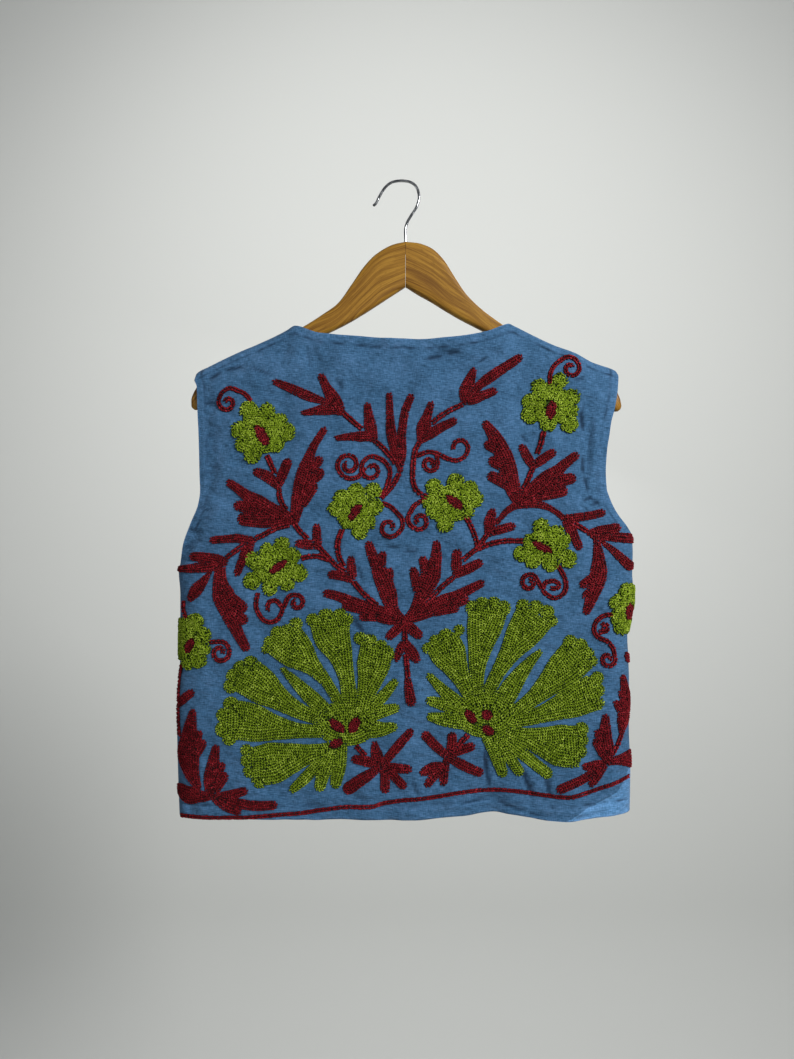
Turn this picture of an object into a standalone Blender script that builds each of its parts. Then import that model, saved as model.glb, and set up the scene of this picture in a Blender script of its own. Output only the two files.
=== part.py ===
# An embroidered waistcoat hanging on a flat wooden hanger, back to the viewer.
# X runs to the viewer's right, Z up, and the back of the waistcoat faces -Y.
# The origin is where the hook rests: the inside top of its bend.
import math

import bpy
import numpy as np

MM = 0.001

# Cloth
wall = 1.6  # thickness of the lined cloth
seamGap = 0.15  # half of the gap between two pieces at a seam
capRadius = 8.0  # outside radius of the cloth where it goes over the hanger
armholeHalfGap = 9.0  # half the distance between front and back at an armhole edge
neckStandOff = 1.6
edgeBand = 9.0  # depth of the turned band at neck and armholes
hemBand = 14.0  # depth of the turned hem
bandExtra = 0.45  # what the turned cloth adds to each face
sideRoll = 30.0  # width of the bend from a side fold or an armhole edge to the flat of the back
armholeRoll = 62.0
reliefHeight = 0.9  # how far thick embroidery stands out of the cloth

# Fronts
frontNeckDrop = -300.0  # height of the point of the V neck
frontOpening = ((-305.0, 4.0), (-460.0, 6.0), (-655.0, 10.0))  # height, half gap between the fronts

# Hanger
armThickness = 11.0
armSeamX = 4.8
wireRadius = 1.45
stemDepth = 13.0
holeClearance = 0.3

# Left outline of the garment from shoulder tip to hem: height, x
leftEdge = (
    (-204.7, -212.6), (-209.9, -209.9), (-213.0, -208.9), (-242.0, -207.8), (-262.6, -206.8), (-303.0, -205.8),
    (-319.5, -205.3), (-333.0, -207.2), (-352.6, -215.1), (-374.3, -223.3), (-385.7, -225.6), (-394.0, -227.5),
    (-401.2, -229.2), (-426.0, -227.5), (-462.2, -227.5), (-499.4, -227.9), (-535.6, -230.0), (-564.6, -230.6),
    (-614.2, -229.5), (-651.4, -228.1),
)
# Right outline: height, x
rightEdge = (
    (-198.5, 223.3), (-209.9, 222.3), (-216.1, 221.8), (-228.5, 219.8), (-236.8, 218.2), (-248.7, 215.1),
    (-263.2, 213.0), (-276.1, 210.9), (-299.9, 209.4), (-317.4, 210.4), (-325.7, 213.0), (-337.1, 218.2),
    (-346.4, 224.4), (-355.7, 232.0), (-367.1, 238.5), (-383.6, 239.2), (-404.3, 238.6), (-417.7, 239.4),
    (-433.2, 238.9), (-451.9, 235.8), (-468.4, 233.5), (-487.0, 234.3), (-514.9, 235.2), (-562.5, 235.0),
    (-603.9, 236.5), (-646.3, 235.8),
)
leftTip, rightTip = -212.6, 223.3  # shoulder tips
leftNeck, rightNeck = -116.8, 119.5  # where the shoulders meet the neck
leftHem, rightHem = -228.1, 235.8
underarmLeft = -394.0
underarmRight = -367.0
# Top edge of the back, shoulder to shoulder through the neck: x, height
topEdge = (
    (-212.6, -204.7), (-209.9, -197.5), (-198.5, -191.3), (-166.5, -175.8), (-146.8, -167.5), (-116.8, -153.0),
    (-111.7, -149.5), (-104.4, -151.0), (-83.8, -158.4), (-42.4, -162.0), (-1.0, -164.6), (24.8, -165.0),
    (45.5, -163.4), (72.4, -160.0), (90.0, -156.2), (102.4, -151.0), (113.7, -147.6), (119.5, -150.4),
    (157.2, -168.5), (179.9, -176.8), (197.5, -186.5), (205.2, -189.2), (220.7, -195.0), (223.3, -198.5),
)
# Ridge over the hanger, carried on up the wood inside the neck: x, height
ridge = (
    (-212.6, -204.7), (-209.9, -197.5), (-198.5, -191.3), (-166.5, -175.8), (-146.8, -167.5), (-116.8, -153.0),
    (-111.7, -149.5), (-100.0, -143.0), (-60.0, -105.0), (0.0, -60.0), (65.0, -105.0), (104.0, -140.0),
    (113.7, -147.6), (119.5, -150.4), (157.2, -168.5), (179.9, -176.8), (197.5, -186.5), (205.2, -189.2),
    (220.7, -195.0), (223.3, -198.5),
)
# Hem of the back: x, height
hemBack = (
    (-228.1, -651.0), (-206.0, -650.5), (-156.0, -649.5), (-58.0, -650.5), (-1.0, -650.0), (31.0, -648.5),
    (62.0, -646.5), (78.6, -644.5), (91.0, -644.0), (109.6, -645.5), (133.4, -648.5), (149.0, -650.5),
    (169.6, -651.0), (189.2, -649.0), (220.2, -646.5), (235.8, -646.3),
)
hemFront = ((-228.1, -651.0), (-120.0, -653.5), (-10.0, -655.0), (10.0, -655.0), (120.0, -652.5), (235.8, -646.3))
# How far each layer bulges from the hanger's plane: height, back, front
bulge = (
    (-150.0, 10.5, 10.0), (-185.0, 12.0, 11.0), (-260.0, 15.0, 12.0), (-400.0, 19.0, 14.0), (-520.0, 21.0, 15.0),
    (-655.0, 23.0, 16.0),
)

# Folds laid by hand: x and height of one end, of the other, half width, depth (inwards is positive)
backFolds = (
    (-208.0, -204.0, -150.0, -189.0, 4.5, 1.8),  # under the rolled strip of the left shoulder
    (-150.0, -189.0, -126.0, -203.0, 5.0, 1.4),
    (-128.0, -176.0, -114.0, -180.0, 5.0, 1.6),
    (-100.0, -168.0, -88.0, -202.0, 6.0, 1.8),
    (24.0, -181.0, 66.0, -176.0, 4.5, 1.8),
    (4.0, -176.0, 96.0, -190.0, 6.0, 1.2),
    (20.0, -200.0, 88.0, -207.0, 7.0, 1.3),
    (-18.0, -185.0, -14.0, -360.0, 10.0, 1.3),
    (192.0, -218.0, 188.0, -325.0, 5.0, 2.4),
    (200.0, -232.0, 197.0, -300.0, 4.0, -1.4),
    (-196.0, -240.0, -190.0, -330.0, 6.0, 1.6),
    (-226.0, -404.0, -160.0, -372.0, 9.0, 2.2),
    (236.0, -385.0, 170.0, -352.0, 10.0, 2.4),
    (91.0, -662.0, 92.0, -560.0, 15.0, 7.0),  # the hem swings in here
    (160.0, -662.0, 158.0, -570.0, 24.0, -5.0),  # and out here
    (130.0, -650.0, 128.0, -600.0, 7.0, 1.6),
    (-60.0, -662.0, -54.0, -560.0, 22.0, 3.0),
    (-140.0, -662.0, -146.0, -575.0, 26.0, -3.0),
    (20.0, -662.0, 16.0, -590.0, 20.0, -2.6),
    (-212.0, -655.0, -205.0, -560.0, 10.0, 2.2),
)
frontFolds = (
    (-60.0, -662.0, -70.0, -470.0, 16.0, 3.5),
    (-150.0, -662.0, -140.0, -520.0, 20.0, -3.0),
    (-196.0, -240.0, -188.0, -330.0, 7.0, 1.8),
    (-226.0, -404.0, -150.0, -360.0, 10.0, 2.4),
    (-110.0, -190.0, -96.0, -300.0, 10.0, 1.6),
    (50.0, -662.0, 64.0, -500.0, 15.0, 3.2),
    (140.0, -662.0, 150.0, -540.0, 22.0, -3.2),
    (198.0, -240.0, 190.0, -320.0, 7.0, 2.0),
    (234.0, -385.0, 160.0, -345.0, 10.0, 2.4),
    (112.0, -190.0, 98.0, -290.0, 10.0, 1.6),
)
# Thick embroidery on the back: x, height, radius, number of lobes
reliefs = (
    (-63.0, -558.0, 98.0, 7), (85.0, -553.0, 98.0, 7), (-140.0, -261.0, 30.0, 6), (-46.0, -345.0, 28.0, 6),
    (-127.0, -398.0, 31.0, 6), (153.0, -233.0, 31.0, 6), (51.0, -330.0, 29.0, 6), (147.0, -378.0, 30.0, 6),
)

# Hanger outlines from the centre seam to the tip: x, height
leftArmTop = (
    (4.8, -62.0), (-7.2, -64.6), (-25.9, -75.0), (-38.3, -87.9), (-51.2, -106.5), (-65.1, -125.6), (-79.6, -136.2),
    (-103.4, -151.0), (-125.0, -160.6), (-146.8, -171.0), (-166.5, -179.2), (-190.0, -190.6), (-200.0, -196.0),
    (-207.2, -203.8), (-210.6, -212.0), (-214.0, -218.0), (-216.4, -226.0), (-216.4, -231.5),
)
leftArmBottom = (
    (4.8, -108.6), (-12.0, -119.5), (-38.3, -136.5), (-54.0, -145.8), (-70.3, -154.1), (-81.7, -159.2),
    (-103.0, -171.5), (-125.0, -183.5), (-146.8, -194.5), (-166.5, -203.5), (-178.0, -209.5), (-188.0, -215.5),
    (-195.0, -220.5), (-200.5, -226.5), (-204.5, -232.0), (-208.5, -235.2), (-212.5, -235.6), (-215.4, -233.6),
)
rightArmTop = (
    (4.8, -62.0), (16.5, -63.1), (31.0, -68.2), (43.4, -79.6), (54.8, -97.2), (67.2, -115.8), (81.7, -130.3),
    (97.2, -142.2), (112.0, -152.0), (135.0, -162.8), (157.2, -172.4), (179.9, -181.0), (197.5, -190.6),
    (212.0, -197.2), (218.5, -204.6), (221.8, -214.0), (226.0, -224.0), (227.8, -231.0),
)
rightArmBottom = (
    (4.8, -108.6), (17.0, -116.3), (31.0, -124.1), (46.0, -133.4), (62.0, -142.7), (75.0, -149.4), (87.9, -156.1),
    (110.0, -168.5), (135.0, -182.5), (157.2, -195.0), (175.0, -203.5), (190.0, -211.5), (201.0, -218.5),
    (209.0, -226.0), (214.0, -232.5), (218.5, -236.6), (222.8, -237.4), (226.6, -235.0),
)
# Hook wire from its end in the wood to its free end: x, height
hookLine = (
    (4.8, -74.4), (4.8, -62.0), (4.5, -49.5), (5.9, -43.4), (10.6, -34.6), (16.2, -25.6), (18.8, -15.5),
    (17.4, -7.6), (12.6, -1.4), (6.2, 1.0), (0.0, 1.45), (-7.2, 0.5), (-14.1, -3.3), (-19.0, -9.4), (-23.0, -16.5),
    (-25.8, -22.0), (-29.0, -24.8),
)

for obj in list(bpy.data.objects):
    bpy.data.objects.remove(obj, do_unlink=True)
scene = bpy.context.scene
scene.unit_settings.system = "METRIC"
scene.unit_settings.scale_length = 1.0

body = bpy.data.collections.new("embroidered_waistcoat")
scene.collection.children.link(body)
cutters = bpy.data.collections.new("cutters")
scene.collection.children.link(cutters)
cutters.hide_render = True


def material(name, colour, rough, metal=0.0, sheen=0.0, coat=0.0):
    made = bpy.data.materials.new(name)
    made.use_nodes = True
    shader = made.node_tree.nodes["Principled BSDF"]
    shader.inputs["Base Color"].default_value = (*colour, 1.0)
    shader.inputs["Roughness"].default_value = rough
    shader.inputs["Metallic"].default_value = metal
    shader.inputs["Sheen Weight"].default_value = sheen
    shader.inputs["Coat Weight"].default_value = coat
    made.diffuse_color = (*colour, 1.0)
    return made


clothBlue = material("cloth_blue", (0.075, 0.17, 0.36), 0.85, sheen=0.3)
woodLacquered = material("wood_lacquered", (0.45, 0.25, 0.08), 0.35, coat=0.5)
hookChrome = material("hook_chrome", (0.75, 0.75, 0.76), 0.15, metal=1.0)


def through(at, table):
    """A smooth curve through the table's points, read at these positions; level beyond its two ends."""
    xs, ys = np.array(table, float).T[:2]
    if xs[0] > xs[-1]:
        xs, ys = xs[::-1], ys[::-1]
    step = np.diff(xs)
    slope = np.diff(ys) / step
    tangent = np.zeros_like(xs)
    same = slope[1:] * slope[:-1] > 0
    tangent[1:-1][same] = 2 * slope[1:][same] * slope[:-1][same] / (slope[1:] + slope[:-1])[same]
    tangent[0], tangent[-1] = slope[0], slope[-1]
    at = np.clip(at, xs[0], xs[-1])
    i = np.clip(np.searchsorted(xs, at) - 1, 0, len(xs) - 2)
    h = step[i]
    t = (at - xs[i]) / h
    return (
        (2 * t**3 - 3 * t**2 + 1) * ys[i] + (t**3 - 2 * t**2 + t) * h * tangent[i]
        + (3 * t**2 - 2 * t**3) * ys[i + 1] + (t**3 - t**2) * h * tangent[i + 1]
    )


def ramp(value, low, high):
    t = np.clip((value - low) / (high - low), 0.0, 1.0)
    return t * t * (3 - 2 * t)


def foldDepth(x, z, folds):
    """Sum of soft troughs: each fades with distance from its line and towards its upper end."""
    total = np.zeros_like(x)
    for x0, z0, x1, z1, half, depth in folds:
        along = np.array([x1 - x0, z1 - z0])
        length = np.hypot(*along)
        t = ((x - x0) * along[0] + (z - z0) * along[1]) / length**2
        near = np.clip(t, 0, 1)
        away = np.hypot(x - x0 - near * along[0], z - z0 - near * along[1])
        atHem = z0 < -640  # a fold that starts at the hem is deepest there
        fade = 1 - ramp(t, 0.1, 1.0) if atHem else ramp(t, -0.05, 0.35) * (1 - ramp(t, 0.65, 1.05))
        total += depth * fade * np.exp(-((away / half) ** 2))
    return total


def outerSurface(x, z, side):
    """How far the outside of a layer stands from the hanger's plane: side 1 is the back, 2 the front."""
    left = through(z, leftEdge)
    right = through(z, rightEdge)
    fromEdge = np.clip(np.minimum(x - left, right - x), 0, None)
    # the armhole edges part quickly above the underarm
    height = np.where(x < 0, (z - underarmLeft) / 50, (z - underarmRight) / 40)
    arm = np.sqrt(np.clip(height, 0, 1)) * (1 - 0.2 * np.clip(height, 0, 1)) / 0.8
    arm = np.minimum(arm, 1.0)
    edge = armholeHalfGap * arm
    full = through(z, [(row[0], row[side]) for row in bulge])
    # a quarter of an ellipse at the sides; at an armhole only its flatter end
    start = 0.5 * ramp(arm, 0.0, 0.3)
    width = sideRoll + (armholeRoll - sideRoll) * arm
    bend = start + (1 - start) * np.clip(fromEdge / width, 0, 1)
    low = np.sqrt(1 - (1 - start) ** 2)
    shape = (np.sqrt(1 - (1 - bend) ** 2) - low) / (1 - low)
    flat = edge + (full - edge) * shape
    folds = backFolds if side == 1 else frontFolds
    flat = flat - foldDepth(x, z, folds) * ramp(fromEdge, 0.0, 14.0)
    below = np.clip(through(x, ridge) - z, 0, None)
    cap = np.sqrt(np.clip(1 - (1 - np.clip(below / capRadius, 0, 1)) ** 2, 0, 1))
    grown = capRadius + (flat - capRadius) * ramp(below, 3.0, 34.0)
    # the turned edge at the neck is thicker, so it stands a little further off the wood
    inNeck = 1 - ramp(np.abs(x), 104.0, 122.0)
    neckPoint = np.exp(-((np.abs(x) - 115) / 9) ** 2) * (1 - ramp(below, 1.0, 8.0))
    return seamGap + 0.5 * neckPoint + cap * (np.maximum(grown, 0.5) + neckStandOff * inNeck)


def unitNormals(grid):
    """Outward directions of a grid of points whose columns and rows turn with the outside."""
    n = np.cross(np.gradient(grid, axis=1), np.gradient(grid, axis=0))
    return n / np.linalg.norm(n, axis=2, keepdims=True)


def clothPiece(name, outer, thickness):
    """A grid laid on the outside of the cloth, given its thickness by Solidify; turned edges are thicker."""
    rows, cols = outer.shape[:2]
    bpy.ops.mesh.primitive_grid_add(x_subdivisions=cols - 1, y_subdivisions=rows - 1, size=1.0)
    obj = bpy.context.object
    obj.name = obj.data.name = name
    for holder in list(obj.users_collection):
        holder.objects.unlink(obj)
    body.objects.link(obj)
    obj.data.vertices.foreach_set("co", (outer * MM).ravel())
    obj.data.shade_smooth()
    obj.data.materials.append(clothBlue)
    most = float(thickness.max())
    share = obj.vertex_groups.new(name="thickness")
    for index, value in enumerate((thickness / most).ravel().tolist()):
        share.add([index], value, "REPLACE")
    solid = obj.modifiers.new("cloth", "SOLIDIFY")
    solid.thickness = most * MM
    solid.offset = -1.0
    solid.vertex_group = share.name
    solid.thickness_vertex_group = 0.0
    return obj


def levels(step, total, first, last):
    """Distances with given small steps at both ends and an even step between."""
    inner = np.linspace(first[-1], total - last[-1], max(2, round((total - first[-1] - last[-1]) / step) + 1))
    return np.concatenate([first, inner[1:-1], total - np.array(last)[::-1]])


def reliefOf(x, z):
    """Raised embroidery: a lobed disc with a soft rim for each motif."""
    total = np.zeros_like(x)
    for cx, cz, radius, lobes in reliefs:
        away = np.hypot(x - cx, z - cz)
        angle = np.arctan2(z - cz, x - cx)
        rim = radius * (1 + 0.08 * np.cos(lobes * angle))
        total = np.maximum(total, 1 - ramp(away, rim - 9, rim + 2))
    return reliefHeight * total


def bands(fromHem, fromNeck, fromArmhole):
    """Thickness that the turned edges add to each face of the cloth."""
    hem = 1 - ramp(fromHem, hemBand - 1, hemBand + 1)
    neck = 1 - ramp(fromNeck, edgeBand - 1, edgeBand + 1)
    armhole = 1 - ramp(fromArmhole, edgeBand - 1, edgeBand + 1)
    return bandExtra * np.maximum(hem, np.maximum(neck, armhole))


def makeBack():
    down = levels(11.6, 500.0, (0.0, 0.02, 0.35, 1.4, 3.4, 6.5, 9.0, 12.0), (0.0, 7.0, 12.5, 16.0)) / 500.0
    near = np.array([0.0, 0.0001, 0.0014, 0.006, 0.017, 0.04])
    across = np.concatenate([near, np.linspace(0.04, 0.96, 41)[1:-1], 1 - near[::-1]])
    u, v = np.meshgrid(across, 1 - down[::-1])
    topX = leftTip + u * (rightTip - leftTip)
    z0 = through(leftHem + u * (rightHem - leftHem), hemBack)
    z = z0 + v * (through(topX, topEdge) - z0)
    left, right = through(z, leftEdge), through(z, rightEdge)
    x = left + u * (right - left)
    y = -outerSurface(x, z, 1)
    outer = np.stack([x, y, z], -1)
    onNeck = ramp(topX, -112, -104) * (1 - ramp(topX, 105, 113))
    fromNeck = (1 - v) * 500 + 40 * (1 - onNeck)
    under = np.where(x < 0, underarmLeft, underarmRight)
    fromSide = np.minimum(x - left, right - x)
    extra = bands(v * 500, fromNeck, fromSide + 40 * (1 - ramp(z, under, under + 12)))
    extra = extra * ramp((1 - v) * 500 + 30 * onNeck, 8, 14) * ramp(fromSide + 60 * ramp(z, under, under + 12), 0, 8)
    lift = extra + reliefOf(x, z) * ramp(fromSide, 2, 14)
    outer += unitNormals(outer) * lift[..., None]
    return clothPiece("back_panel", outer, wall + extra + lift)


def makeFront(name, sign):
    """A front; sign -1 is the wearer's left. Its rows run from the free front edge to the side."""
    down = levels(16.0, 500.0, (0.0, 0.02, 0.35, 1.4, 3.4, 6.5, 12.0), (0.0, 12.5, 16.0)) / 500.0
    near = np.array([0.0, 0.0002, 0.003, 0.013, 0.036, 0.085])
    across = np.concatenate([[0.0, 0.045], np.linspace(0.045, 0.915, 12)[1:-1], 1 - near[::-1]])
    u, v = np.meshgrid(across, 1 - down[::-1])
    neckX, tipX, hemX = (leftNeck, leftTip, leftHem) if sign < 0 else (rightNeck, rightTip, rightHem)
    z0 = through(sign * 10 + u * (hemX - sign * 10), hemFront)
    z = z0 + v * (through(neckX + u * (tipX - neckX), ridge) - z0)
    outline = through(z, leftEdge) if sign < 0 else through(z, rightEdge)
    # the free edge runs straight down the centre and curves up along the V neck
    hemZ, neckZ = through(sign * 10, hemFront), through(neckX, ridge)
    freeZ = hemZ + v * (neckZ - hemZ)
    rise = np.clip((freeZ - frontNeckDrop) / (neckZ - frontNeckDrop), 0, 1)
    slant = rise - 0.22 * np.sin(math.pi * rise) * (1 - rise)
    free = sign * through(freeZ, frontOpening) + (neckX - sign * 4) * slant
    x = free + u * (outline - free)
    outer = np.stack([x, outerSurface(x, z, 2), z], -1)
    under = underarmLeft if sign < 0 else underarmRight
    fromSide = np.abs(outline - x)
    extra = bands(v * 500, np.abs(x - free), fromSide + 40 * (1 - ramp(z, under, under + 12)))
    extra = extra * ramp((1 - v) * 500, 8, 14) * ramp(fromSide + 60 * ramp(z, under, under + 12), 0, 8)
    if sign > 0:
        outer, extra = outer[:, ::-1], extra[:, ::-1]
    outer = outer + unitNormals(outer) * extra[..., None]
    return clothPiece(name, outer, wall + 2 * extra)


def makeArm(name, top, bottom, sign):
    """Half a hanger: sections with round edges from the centre seam to the tip."""
    count = 26

    def resampled(line):
        line = np.array(line, float)
        length = np.concatenate([[0], np.cumsum(np.hypot(*np.diff(line, axis=0).T))])
        at = length[-1] * np.linspace(0, 1, count)
        return np.stack([through(at, np.stack([length, line[:, k]], 1)) for k in (0, 1)], 1)

    upper, lower = resampled(top), resampled(bottom)
    middle, half = (upper + lower) / 2, (upper - lower) / 2
    tall = np.hypot(*half.T)
    # thickness stays even and closes round the tip
    thick = np.minimum(armThickness / 2, np.maximum(tall * 0.75, 1.2))
    corner = np.minimum(thick * 0.92, tall * 0.92)
    turn = np.radians(np.arange(0, 360, 22.5) + 11.25)
    c, s = np.cos(turn), np.sin(turn)
    rings = []
    for i in range(count):
        up = (tall[i] - corner[i]) * np.sign(c) + corner[i] * c
        out = (thick[i] - corner[i]) * np.sign(s) + corner[i] * s
        axis = half[i] / tall[i]
        ring = np.stack([middle[i, 0] + axis[0] * up, out, middle[i, 1] + axis[1] * up], 1)
        rings.append(ring)
    points = np.array(rings)
    points[0, :, 0] = armSeamX + sign * seamGap
    sides = len(turn)
    faces = []
    for i in range(count - 1):
        for j in range(sides):
            k = (j + 1) % sides
            faces.append((i * sides + j, i * sides + k, (i + 1) * sides + k, (i + 1) * sides + j))
    faces.append(tuple(range(sides))[::-1])
    faces.append(tuple(range((count - 1) * sides, count * sides)))
    if sign > 0:
        faces = [f[::-1] for f in faces]
    mesh = bpy.data.meshes.new(name)
    mesh.from_pydata((points.reshape(-1, 3) * MM).tolist(), [], faces)
    mesh.update()
    obj = bpy.data.objects.new(name, mesh)
    body.objects.link(obj)
    obj.data.materials.append(woodLacquered)
    hole = obj.modifiers.new("stem_hole", "BOOLEAN")
    hole.operation = "DIFFERENCE"
    hole.solver = "EXACT"
    hole.object = stemCutter
    return obj


def makeStemCutter():
    """A cylinder wider than the stem by its clearance, from above the wood to just past the stem's end."""
    sides = 20
    radius = wireRadius + holeClearance
    top, bottom = -55.0, -62.0 - stemDepth
    turn = np.arange(sides) * 2 * math.pi / sides + math.pi / sides
    ring = np.stack([armSeamX + radius * np.cos(turn), radius * np.sin(turn)], 1)
    points = [(x, y, bottom) for x, y in ring] + [(x, y, top) for x, y in ring]
    faces = [(j, (j + 1) % sides, sides + (j + 1) % sides, sides + j) for j in range(sides)]
    faces += [tuple(range(sides))[::-1], tuple(range(sides, 2 * sides))]
    mesh = bpy.data.meshes.new("stem_cutter")
    mesh.from_pydata((np.array(points) * MM).tolist(), [], faces)
    mesh.update()
    obj = bpy.data.objects.new("stem_cutter", mesh)
    obj.hide_render = True
    obj.display_type = "WIRE"
    cutters.objects.link(obj)
    return obj


def makeHook():
    """The bent wire, a little narrower at its free end so that the end is round."""
    line = np.array(hookLine)
    length = np.concatenate([[0], np.cumsum(np.hypot(*np.diff(line, axis=0).T))])
    at = np.concatenate([np.linspace(0, 13, 3), np.linspace(13, length[-1] - 1.2, 38)[1:], length[-1] - [0.5, 0.0]])
    xs = through(at, np.stack([length, line[:, 0]], 1))
    zs = through(at, np.stack([length, line[:, 1]], 1))
    curve = bpy.data.curves.new("hanger_hook", "CURVE")
    curve.dimensions = "3D"
    curve.bevel_depth = wireRadius * MM
    curve.bevel_resolution = 2
    curve.use_fill_caps = True
    spline = curve.splines.new("POLY")
    spline.points.add(len(at) - 1)
    radius = np.ones(len(at))
    radius[-2:] = (0.82, 0.4)
    for point, x, z, r in zip(spline.points, xs, zs, radius):
        point.co = (x * MM, 0.0, z * MM, 1.0)
        point.radius = r
    obj = bpy.data.objects.new("hanger_hook", curve)
    body.objects.link(obj)
    curve.materials.append(hookChrome)
    return obj


stemCutter = makeStemCutter()
makeBack()
makeFront("front_panel_left", -1)
makeFront("front_panel_right", 1)
makeArm("hanger_arm_left", leftArmTop, leftArmBottom, -1)
makeArm("hanger_arm_right", rightArmTop, rightArmBottom, 1)
makeHook()
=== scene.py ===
import math
import bpy
import numpy as np
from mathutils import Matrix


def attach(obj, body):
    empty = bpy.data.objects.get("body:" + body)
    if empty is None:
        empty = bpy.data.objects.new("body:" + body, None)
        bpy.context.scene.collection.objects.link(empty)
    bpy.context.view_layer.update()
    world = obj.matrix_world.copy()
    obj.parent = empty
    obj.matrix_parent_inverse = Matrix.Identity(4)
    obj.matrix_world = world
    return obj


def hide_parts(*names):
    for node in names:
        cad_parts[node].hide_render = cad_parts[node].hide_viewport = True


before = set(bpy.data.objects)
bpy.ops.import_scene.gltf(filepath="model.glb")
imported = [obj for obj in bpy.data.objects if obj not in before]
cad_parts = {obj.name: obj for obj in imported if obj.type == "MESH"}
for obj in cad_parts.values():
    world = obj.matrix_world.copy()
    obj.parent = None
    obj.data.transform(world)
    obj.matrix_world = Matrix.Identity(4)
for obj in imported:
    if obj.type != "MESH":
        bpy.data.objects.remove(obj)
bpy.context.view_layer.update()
mm = 0.001
rng = np.random.default_rng(11)
print("frame loaded")

# The photo was taken square on to the hanger. Places on the cloth are given in photo pixels, and these values
# turn them into millimetres on the hanger's plane.
view = {"centre": (397.0, 529.5), "pixel": 1.034, "x": -4.0, "z": -359.0, "distance": 821.0, "lens": 27.0}

cloth = {
    "wall": 1.5,
    "seamGap": 0.03,
    "capRadius": 8.0,  # outside radius over the hanger
    "armholeHalfGap": 9.0,
    "sideRoll": 30.0,
    "armholeRoll": 62.0,
    "neckStandOff": 1.6,
    "underarm": (-394.0, -367.0),  # left, right
    "tips": (-212.6, 223.3),
    "necks": (-116.8, 119.5),
    "hems": (-228.1, 235.8),
    "bandDeep": 9.0,  # turned edge at neck and armholes
    "hemDeep": 14.0,
    "bandThick": 0.45,
    "sharpCrease": 2.7,  # creases narrower than this also get painted shade
    "creaseShadeDepth": 1.7,  # depth at which a crease gets its full painted shade
    "seamGrooveShade": 0.95,  # painted shade in the stitch grooves along turned edges
    "frontShade": 0.4,  # strength of the painted crease shade on the fronts against that on the back
    "tall": 500.0,  # nominal height of a panel, for the steps of its mesh
    "backStep": 2.3, "backColumns": 184, "frontStep": 3.2, "frontColumns": 74,
}

# Outline and depth of the garment in millimetres, the same as its solids
leftEdge = (
    (-204.7, -212.6), (-209.9, -209.9), (-213.0, -208.9), (-242.0, -207.8), (-262.6, -206.8),
    (-303.0, -205.8), (-319.5, -205.3), (-333.0, -207.2), (-352.6, -215.1), (-374.3, -223.3),
    (-385.7, -225.6), (-394.0, -227.5), (-401.2, -229.2), (-426.0, -227.5), (-462.2, -227.5),
    (-499.4, -227.9), (-535.6, -230.0), (-564.6, -230.6), (-614.2, -229.5), (-651.4, -228.1),
)
rightEdge = (
    (-198.5, 223.3), (-209.9, 222.3), (-216.1, 221.8), (-228.5, 219.8), (-236.8, 218.2), (-248.7, 215.1),
    (-263.2, 213.0), (-276.1, 210.9), (-299.9, 209.4), (-317.4, 210.4), (-325.7, 213.0), (-337.1, 218.2),
    (-346.4, 224.4), (-355.7, 232.0), (-367.1, 238.5), (-383.6, 239.2), (-404.3, 238.6), (-417.7, 239.4),
    (-433.2, 238.9), (-451.9, 235.8), (-468.4, 233.5), (-487.0, 234.3), (-514.9, 235.2), (-562.5, 235.0),
    (-603.9, 236.5), (-646.3, 235.8),
)
topEdge = (
    (-212.6, -204.7), (-209.9, -197.5), (-198.5, -191.3), (-166.5, -175.8), (-146.8, -167.5),
    (-116.8, -153.0), (-111.7, -149.5), (-104.4, -151.0), (-83.8, -158.4), (-42.4, -162.0), (-1.0, -164.6),
    (24.8, -165.0), (45.5, -163.4), (72.4, -160.0), (90.0, -156.2), (102.4, -151.0), (113.7, -147.6),
    (119.5, -150.4), (157.2, -168.5), (179.9, -176.8), (197.5, -186.5), (205.2, -189.2), (220.7, -195.0),
    (223.3, -198.5),
)
ridge = (
    (-212.6, -204.7), (-209.9, -197.5), (-198.5, -191.3), (-166.5, -175.8), (-146.8, -167.5),
    (-116.8, -153.0), (-111.7, -149.5), (-100.0, -143.0), (-60.0, -105.0), (0.0, -60.0), (65.0, -105.0),
    (104.0, -140.0), (113.7, -147.6), (119.5, -150.4), (157.2, -168.5), (179.9, -176.8), (197.5, -186.5),
    (205.2, -189.2), (220.7, -195.0), (223.3, -198.5),
)
hemBack = (
    (-228.1, -651.0), (-206.0, -650.5), (-156.0, -649.5), (-58.0, -650.5), (-1.0, -650.0), (31.0, -648.5),
    (62.0, -646.5), (78.6, -644.5), (91.0, -644.0), (109.6, -645.5), (133.4, -648.5), (149.0, -650.5),
    (169.6, -651.0), (189.2, -649.0), (220.2, -646.5), (235.8, -646.3),
)
hemFront = (
    (-228.1, -651.0), (-120.0, -653.5), (-10.0, -655.0), (10.0, -655.0), (120.0, -652.5), (235.8, -646.3),
)
# Height, then how far the back and the front stand off the hanger's plane
bulge = (
    (-150.0, 10.5, 10.0), (-185.0, 12.0, 11.0), (-260.0, 15.0, 12.0), (-400.0, 19.0, 14.0),
    (-520.0, 21.0, 15.0), (-655.0, 23.0, 16.0),
)
frontNeckDrop = -300.0
frontOpening = ((-305.0, 4.0), (-460.0, 6.0), (-655.0, 10.0))

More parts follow.
